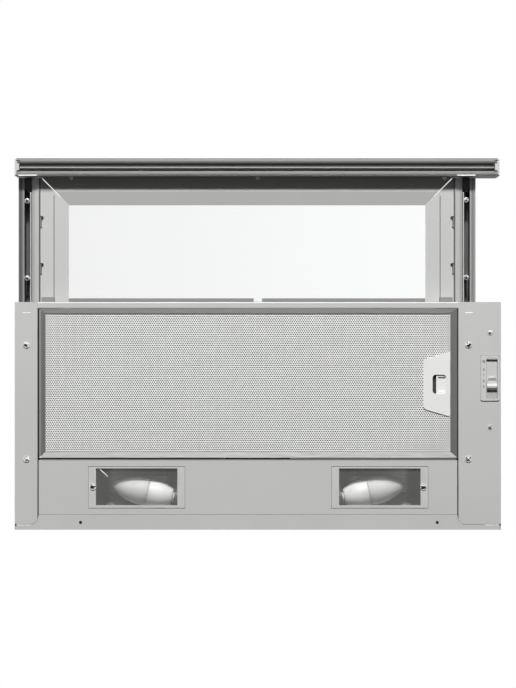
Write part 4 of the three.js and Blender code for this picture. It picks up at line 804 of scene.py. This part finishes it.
def make_slot_lips():
    """The lip of each drain slot, pressed down flush and near-white as a painted highlight."""
    mesh = bmesh.new()
    front, rear = DRAIN_SLOT_Y
    for x in DRAIN_SLOT_X:
        add_block(mesh, (x - 5, front, tray_face), (x + 5, rear, tray_face + 0.7), 0.25)
    finish_piece(mesh, "slot_lips", "housing", "light_paint", painted_highlight_white)


def make_rear_rivets():
    """Black discs of painted shade that stand for the open bores of the blind rivets near the wall."""
    mesh = bmesh.new()
    disc = [(0, 0), (1.9, 0), (1.9, 0.15), (0, 0.15)]
    for x in REAR_RIVET_X:
        add_turned(mesh, disc, at(x, REAR_RIVET_Y, tray_face), (0, 0, -1), 20)
    finish_piece(mesh, "rear_rivets", "housing", "black_plastic", painted_shade_black)


def make_lens_corner_highlight():
    """A near-white wire at the left lens's outer front corner, a painted highlight in the place of a streak
    of reflected light.
    """
    mesh = bmesh.new()
    start, end = (at(*place) for place in HIGHLIGHT_WIRE_ENDS)
    length = (end - start).length / MM
    profile = [(0, 0), (0.5, 0.2), (0.75, 1), (0.75, length - 1), (0.5, length - 0.2), (0, length)]
    add_turned(mesh, profile, start, end - start, 12)
    finish_piece(mesh, "lens_corner_highlight", "housing", "zinc_steel", highlight_wire_white, 40)


def make_switch_legends():
    """Printed beside the slot: a lamp symbol and the positions 0 to 3."""
    mesh = bmesh.new()
    face = low("switch_plate").z / MM
    for text, y in SWITCH_FIGURES:
        curve = bpy.data.curves.new("figure", "FONT")
        curve.body = text
        curve.size = 3.9 * MM
        curve.offset = 0.1 * MM
        curve.extrude = PRINT_THICKNESS * MM
        curve.align_x = "CENTER"
        curve.align_y = "CENTER"
        figure = bpy.data.objects.new("figure", curve)
        shape = bpy.data.meshes.new_from_object(figure)
        shape.transform(Matrix.Translation(at(LEGEND_X, y, face)) @ Matrix.Rotation(math.pi, 4, "X"))
        mesh.from_mesh(shape)
        bpy.data.objects.remove(figure)
        bpy.data.meshes.remove(shape)
    bmesh.ops.remove_doubles(mesh, verts=mesh.verts, dist=0.000001)
    lamp = at(LEGEND_X, LAMP_SYMBOL_Y, face)
    inner, outer, top = 1.55, 1.95, PRINT_THICKNESS
    ring = [(inner, 0), (outer, 0), (outer, top), (inner, top), (inner, 0)]
    add_turned(mesh, ring, lamp, (0, 0, -1), 28)
    for turn in (45, 135):
        part = bmesh.new()
        bmesh.ops.create_cube(part, size=1)
        bmesh.ops.scale(part, verts=part.verts, vec=at(3.4, 0.35, 2 * top))
        absorb(mesh, part, Matrix.Translation(lamp) @ Matrix.Rotation(math.radians(turn), 4, "Z"))
    finish_piece(mesh, "switch_legends", "housing", "black_plastic", print_ink)


# the filter's lower mesh: sheet aluminium with staggered six-sided holes
HOLE_PITCH = (2.8, 2.25)
HOLE_RADIUS = 0.9
SHEET_COLUMNS = (43, 42, 42, 42)
LATCH_COLUMNS = 13
ROW_PAIRS = 40
SHEET_THICKNESS = 0.5
mesh_face = low("filter_mesh_lower").z / MM


def perforated_sheet(name, x, y, columns, row_pairs):
    """Cells from the corner (x, y) in millimetres, repeated by two arrays."""
    mesh = bmesh.new()
    across, down = HOLE_PITCH
    radius = down / 1.5  # of a six-sided cell whose rows lie `down` apart
    squeeze = across / (math.sqrt(3) * radius)
    web = (radius - HOLE_RADIUS) * math.sqrt(0.75)
    for row in (0, 1):
        middle = at(x + across * (0.5 + 0.5 * row), y + down * (0.5 + row), mesh_face)
        flat = Matrix.Diagonal((squeeze, 1, 1, 1)) @ Matrix.Rotation(math.pi, 4, "X")
        cell = Matrix.Translation(middle) @ flat
        bmesh.ops.create_circle(mesh, cap_ends=True, segments=6, radius=radius * MM, matrix=cell)
    bmesh.ops.remove_doubles(mesh, verts=mesh.verts, dist=0.00001)
    cells = mesh.faces[:]
    bmesh.ops.inset_individual(mesh, faces=cells, thickness=web * MM)
    bmesh.ops.delete(mesh, geom=cells, context="FACES_ONLY")
    piece = finish_piece(mesh, name, "filter", "filter_aluminium", mesh_metal)
    for axis, pitch, count in ((0, across, columns), (1, 2 * down, row_pairs)):
        array = piece.modifiers.new("rows" if axis else "columns", "ARRAY")
        array.count = count
        array.use_relative_offset = False
        array.use_constant_offset = True
        array.constant_offset_displace = [pitch * MM if i == axis else 0 for i in range(3)]
        array.use_merge_vertices = True
        array.merge_threshold = 0.00002
    wall = piece.modifiers.new("thickness", "SOLIDIFY")
    wall.thickness = SHEET_THICKNESS * MM
    wall.offset = -1
    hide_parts("filter_mesh_lower")


def make_filter_mesh():
    """Four wide sheets and, beside the latch, two narrow ones before and behind it."""
    left = low("visor_rear_rail").x / MM + 1.8
    front = low("filter_frame").y / MM + 1.8
    latch_front = low("latch_housing").y / MM
    latch_rear = high("latch_housing").y / MM
    across, down = HOLE_PITCH
    edge = left
    for number, columns in enumerate(SHEET_COLUMNS):
        perforated_sheet(f"mesh_sheet_{number + 1}", edge, front, columns, ROW_PAIRS)
        edge += columns * across
    before = int((latch_front - 0.5 - front) / (2 * down))
    after = math.ceil((latch_rear + 0.5 - front) / (2 * down))
    behind = front + after * 2 * down
    perforated_sheet("mesh_sheet_latch_front", edge, front, LATCH_COLUMNS, before)
    perforated_sheet("mesh_sheet_latch_rear", edge, behind, LATCH_COLUMNS, ROW_PAIRS - after)


# ---------------------------------------------------------------- the blower's housing, from above

def housing_walls():
    """The housing's walls, without its foot, in millimetres."""
    half = low("cabinet_bracket_right").x / MM
    rear = high("blower_housing").y / MM
    front = low("blower_housing").y / MM + 8
    return half, front, rear, high("blower_housing").z / MM


def make_housing_seams():
    """Folded seams along the roof's and the corners' edges, with blind rivets."""
    half, front, rear, top = housing_walls()
    seams = bmesh.new()
    for x0, x1 in both_sides(-half, -half + SEAM_WIDTH, 0):
        add_block(seams, (x0, front, top), (x1, rear, top + SEAM_HEIGHT), 0.3)
    for y0 in (front, rear - SEAM_WIDTH):
        reach = half - SEAM_WIDTH - 0.3
        add_block(seams, (-reach, y0, top), (reach, y0 + SEAM_WIDTH, top + SEAM_HEIGHT), 0.3)
        for x0, x1 in both_sides(-half - SEAM_HEIGHT, -half, 0):
            add_block(seams, (x0, y0, HOUSING_SHEET + 0.4), (x1, y0 + SEAM_WIDTH, top), 0.3)
    finish_piece(seams, "housing_seams", "housing", "zinc_steel")
    rivets = bmesh.new()
    dome = [(0, 0), (2.6, 0), (2.6, 0.3), (2, 0.9), (0.9, 1.1), (0.9, 0.7), (0, 0.7)]
    for x in (-half + 6, half - 6):
        for y in (front + 30, (front + rear) / 2, rear - 30):
            add_turned(rivets, dome, at(x, y, top + SEAM_HEIGHT), (0, 0, 1), 20)
    for x in (-170, -60, 60, 170):
        for y in (front + 6, rear - 6):
            add_turned(rivets, dome, at(x, y, top + SEAM_HEIGHT), (0, 0, 1), 20)
    for side in (-1, 1):
        for y in (front + 6, rear - 6):
            for z in (22, 66, 110):
                add_turned(rivets, dome, at(side * (half + SEAM_HEIGHT), y, z), (side, 0, 0), 20)
    finish_piece(rivets, "housing_rivets", "housing", "zinc_steel", screw_steel, 35)


def make_housing_screws():
    """Screws through the housing's foot, the brackets' tabs and the collar's flange."""
    half, front, rear, top = housing_walls()
    mesh = bmesh.new()
    for x in (-half - 5.5, half + 5.5):
        for y in (front + 18, (front + rear) / 2 - 62, rear - 18):
            add_screw(mesh, at(x, y, HOUSING_SHEET), 3.4, 1.6, (0, 0, 1), x + y)
    for x in (-190, -65, 65, 190):
        add_screw(mesh, at(x, front - 4.2, HOUSING_SHEET), 3.2, 1.6, (0, 0, 1), 3 * x)
    corner, far_corner = low("cabinet_bracket_right") / MM, high("cabinet_bracket_right") / MM
    for side in (-1, 1):
        for y in (corner.y + BRACKET_TAB / 2, far_corner.y - BRACKET_TAB / 2):
            for z in (corner.z + 16, far_corner.z - 16):
                add_screw(mesh, at(side * (half + BRACKET_SHEET), y, z), 3.4, 1.8, (side, 0, 0), y + z)
    finish_piece(mesh, "housing_screws", "housing", "zinc_steel", screw_steel, 30)
    centre = (low("duct_collar") + high("duct_collar")) / 2 / MM
    mesh = bmesh.new()
    for step in range(6):
        angle = math.radians(30 + 60 * step)
        place = at(centre.x + 66 * math.cos(angle), centre.y + 66 * math.sin(angle), top + COLLAR_FLANGE)
        add_screw(mesh, place, 3, 1.5, (0, 0, 1), 50 * step)
    finish_piece(mesh, "collar_screws", "housing", "zinc_steel", screw_steel, 30)


def make_collar():
    """The duct collar turned smooth, with two raised rings that grip the hose."""
    corner, far_corner = low("duct_collar") / MM, high("duct_collar") / MM
    centre = (corner + far_corner) / 2
    flange = (far_corner.x - corner.x) / 2
    outer, inner, height = flange - 12, flange - 14, far_corner.z - corner.z
    rim = COLLAR_FLANGE
    profile = [(inner - 3, 1.2), (inner - 3, 0), (flange - 0.6, 0), (flange, 0.6), (flange, rim - 0.6),
               (flange - 0.6, rim), (outer + 1.5, rim), (outer + 0.4, rim + 0.5), (outer, rim + 1.6)]
    for ring in (height - 12, height - 7):
        profile += [(outer, ring - 1.2), (outer + 0.8, ring), (outer, ring + 0.6)]
    profile += [(outer, height - 2.4), (outer - 0.9, height - 0.2), (outer - 1.3, height), (inner, height),
                (inner, 2.4), (inner - 3, 1.2)]
    mesh = bmesh.new()
    add_turned(mesh, profile, at(centre.x, centre.y, corner.z), (0, 0, 1), 96)
    for side in (-1, 1):
        y0, y1 = sorted((centre.y + side * (inner - 1.2), centre.y + side * (inner + 1)))
        add_block(mesh, (-7, y0, corner.z + 2), (7, y1, corner.z + 8), 0.5)
    collar = finish_piece(mesh, "collar_turned", "housing", "black_plastic", smooth=35)
    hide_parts("duct_collar")


def make_gland():
    """The cable gland: a hexagon on the roof and a ribbed, domed nut."""
    corner, far_corner = low("cable_gland") / MM, high("cable_gland") / MM
    x, y = (corner.x + far_corner.x) / 2, (corner.y + far_corner.y) / 2
    roof = high("blower_housing").z / MM
    bore = 3.5
    hexagon_height = 4.5
    rib_count = 16
    mesh = bmesh.new()
    below = roof - corner.z - 0.2
    thread = [(bore, 0), (9.4, 0), (10, 0.6), (10, below), (bore, below), (bore, 0)]
    add_turned(mesh, thread, at(x, y, corner.z), (0, 0, 1), 40)
    hexagon = bmesh.new()
    bmesh.ops.create_circle(hexagon, cap_ends=True, segments=6, radius=12.9)
    raised = bmesh.ops.extrude_face_region(hexagon, geom=hexagon.faces[:])["geom"]
    bmesh.ops.translate(hexagon, vec=(0, 0, hexagon_height), verts=verts_of(raised))
    bmesh.ops.recalc_face_normals(hexagon, faces=hexagon.faces)
    bmesh.ops.bevel(hexagon, geom=hexagon.edges[:], offset=0.6, segments=2, profile=0.5, affect="EDGES",
                    material=-1)
    absorb(mesh, hexagon, Matrix.Translation(at(x, y, roof)) @ Matrix.Scale(MM, 4))
    top = far_corner.z - roof
    nut = [(bore, hexagon_height), (8.8, hexagon_height), (8.8, top - 5), (8.2, top - 3),
           (6.8, top - 0.6), (6, top), (bore, top), (bore, hexagon_height)]
    add_turned(mesh, nut, at(x, y, roof), (0, 0, 1), 48)
    rib_length = top - 10.5
    for step in range(rib_count):
        turn = Matrix.Rotation(2 * math.pi * step / rib_count, 4, "Z")
        rib = bmesh.new()
        bmesh.ops.create_cube(rib, size=1)
        bmesh.ops.scale(rib, verts=rib.verts, vec=(0.9, 1.3, rib_length))
        bmesh.ops.bevel(rib, geom=rib.edges[:], offset=0.25, segments=1, profile=0.5, affect="EDGES",
                        material=-1)
        spot = Matrix.Translation((9, 0, 5 + rib_length / 2))
        absorb(mesh, rib, Matrix.Translation(at(x, y, roof)) @ Matrix.Scale(MM, 4) @ turn @ spot)
    gland = finish_piece(mesh, "gland_turned", "housing", "black_plastic", smooth=35)
    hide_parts("cable_gland")


SPRING_TURNS = 9


def make_latch_spring():
    """The latch's return spring, wound smooth, with a mesh of its own."""
    corner, far_corner = low("latch_spring") / MM, high("latch_spring") / MM
    wire = 0.3
    winding = (far_corner.z - corner.z) / 2 - wire
    length = far_corner.x - corner.x - 2 * wire
    middle = at(corner.x + wire, (corner.y + far_corner.y) / 2, (corner.z + far_corner.z) / 2)
    mesh = bmesh.new()
    across_wire = Matrix.Translation((0, 0, winding)) @ Matrix.Rotation(math.pi / 2, 4, "X")
    bmesh.ops.create_circle(mesh, segments=8, radius=wire, matrix=across_wire)
    steps = SPRING_TURNS * 20
    bmesh.ops.spin(mesh, geom=mesh.verts[:] + mesh.edges[:], cent=(0, 0, 0), axis=(1, 0, 0),
                   dvec=(length / steps, 0, 0), angle=2 * math.pi * SPRING_TURNS, steps=steps)
    bmesh.ops.holes_fill(mesh, edges=[edge for edge in mesh.edges if edge.is_boundary], sides=0)
    bmesh.ops.recalc_face_normals(mesh, faces=mesh.faces)
    mesh.transform(Matrix.Translation(middle) @ Matrix.Scale(MM, 4))
    spring = finish_piece(mesh, "spring_wound", "filter", "zinc_steel", smooth=50)
    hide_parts("latch_spring")
    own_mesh(spring)


BULB_TILT = math.radians(11.8)
BULB_STEPS = 24


def make_bulbs():
    """Candle bulbs, turned smooth on the CAD's own axes, and their collars and caps."""
    for side, sign in (("left", -1), ("right", 1)):
        tip = at(0.5 + sign * 181.8, -54, -20)
        axis = Vector((-sign * math.cos(BULB_TILT), math.sin(BULB_TILT), 0))
        candle = [(0, 0)]
        for step in range(1, BULB_STEPS + 1):
            t = step / BULB_STEPS
            candle.append((18 * math.sin(t * math.pi / 2) ** 0.8, 45.7 * t ** 1.25))
        candle.append((0, 45.7))
        glass = bmesh.new()
        add_turned(glass, candle, tip, axis, 48)
        bulb = finish_piece(glass, f"bulb_{side}", "housing", "opal_glass", smooth=50)
        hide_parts(f"bulb_glass_{side}")

        base = [(0, 46), (17.2, 46), (17.6, 46.5), (17.6, 52), (17.4, 58), (16.6, 63), (15.3, 67),
                (13.6, 71), (12.2, 74.4), (11, 76.4), (9, 77), (7, 77)]
        for ring in range(5):
            start = 79 + ring * 2.9
            base += [(6.3, start), (6.9, start + 0.7), (6.9, start + 1.4), (6.3, start + 2.1)]
        base += [(6.3, 94.5), (4.6, 96.4), (2.2, 97), (2, 98), (0, 98)]
        collar = bmesh.new()
        add_turned(collar, base, tip, axis, 48)
        piece = finish_piece(collar, f"bulb_collar_{side}", "housing", "white_plastic", collar_plastic, 35)
        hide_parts(f"bulb_base_{side}")


# ---------------------------------------------------------------- the scene

make_screws()
make_bar_screws()
make_rail_screws()
make_rail_hems()
make_visor_gap_shades()
make_lip_highlight()
make_flange_joints()
make_cap_seam_shades()
make_plate_shadow_lines()
make_bay_gap_shades()
make_groove_plugs()
make_slot_lips()
make_rear_rivets()
make_lens_corner_highlight()
make_switch_legends()
make_filter_mesh()
make_latch_spring()
make_bulbs()
make_housing_seams()
make_housing_screws()
make_collar()
make_gland()

make_camera()
make_world()
make_floor()
make_lights()
bpy.context.scene.view_settings.view_transform = "Standard"
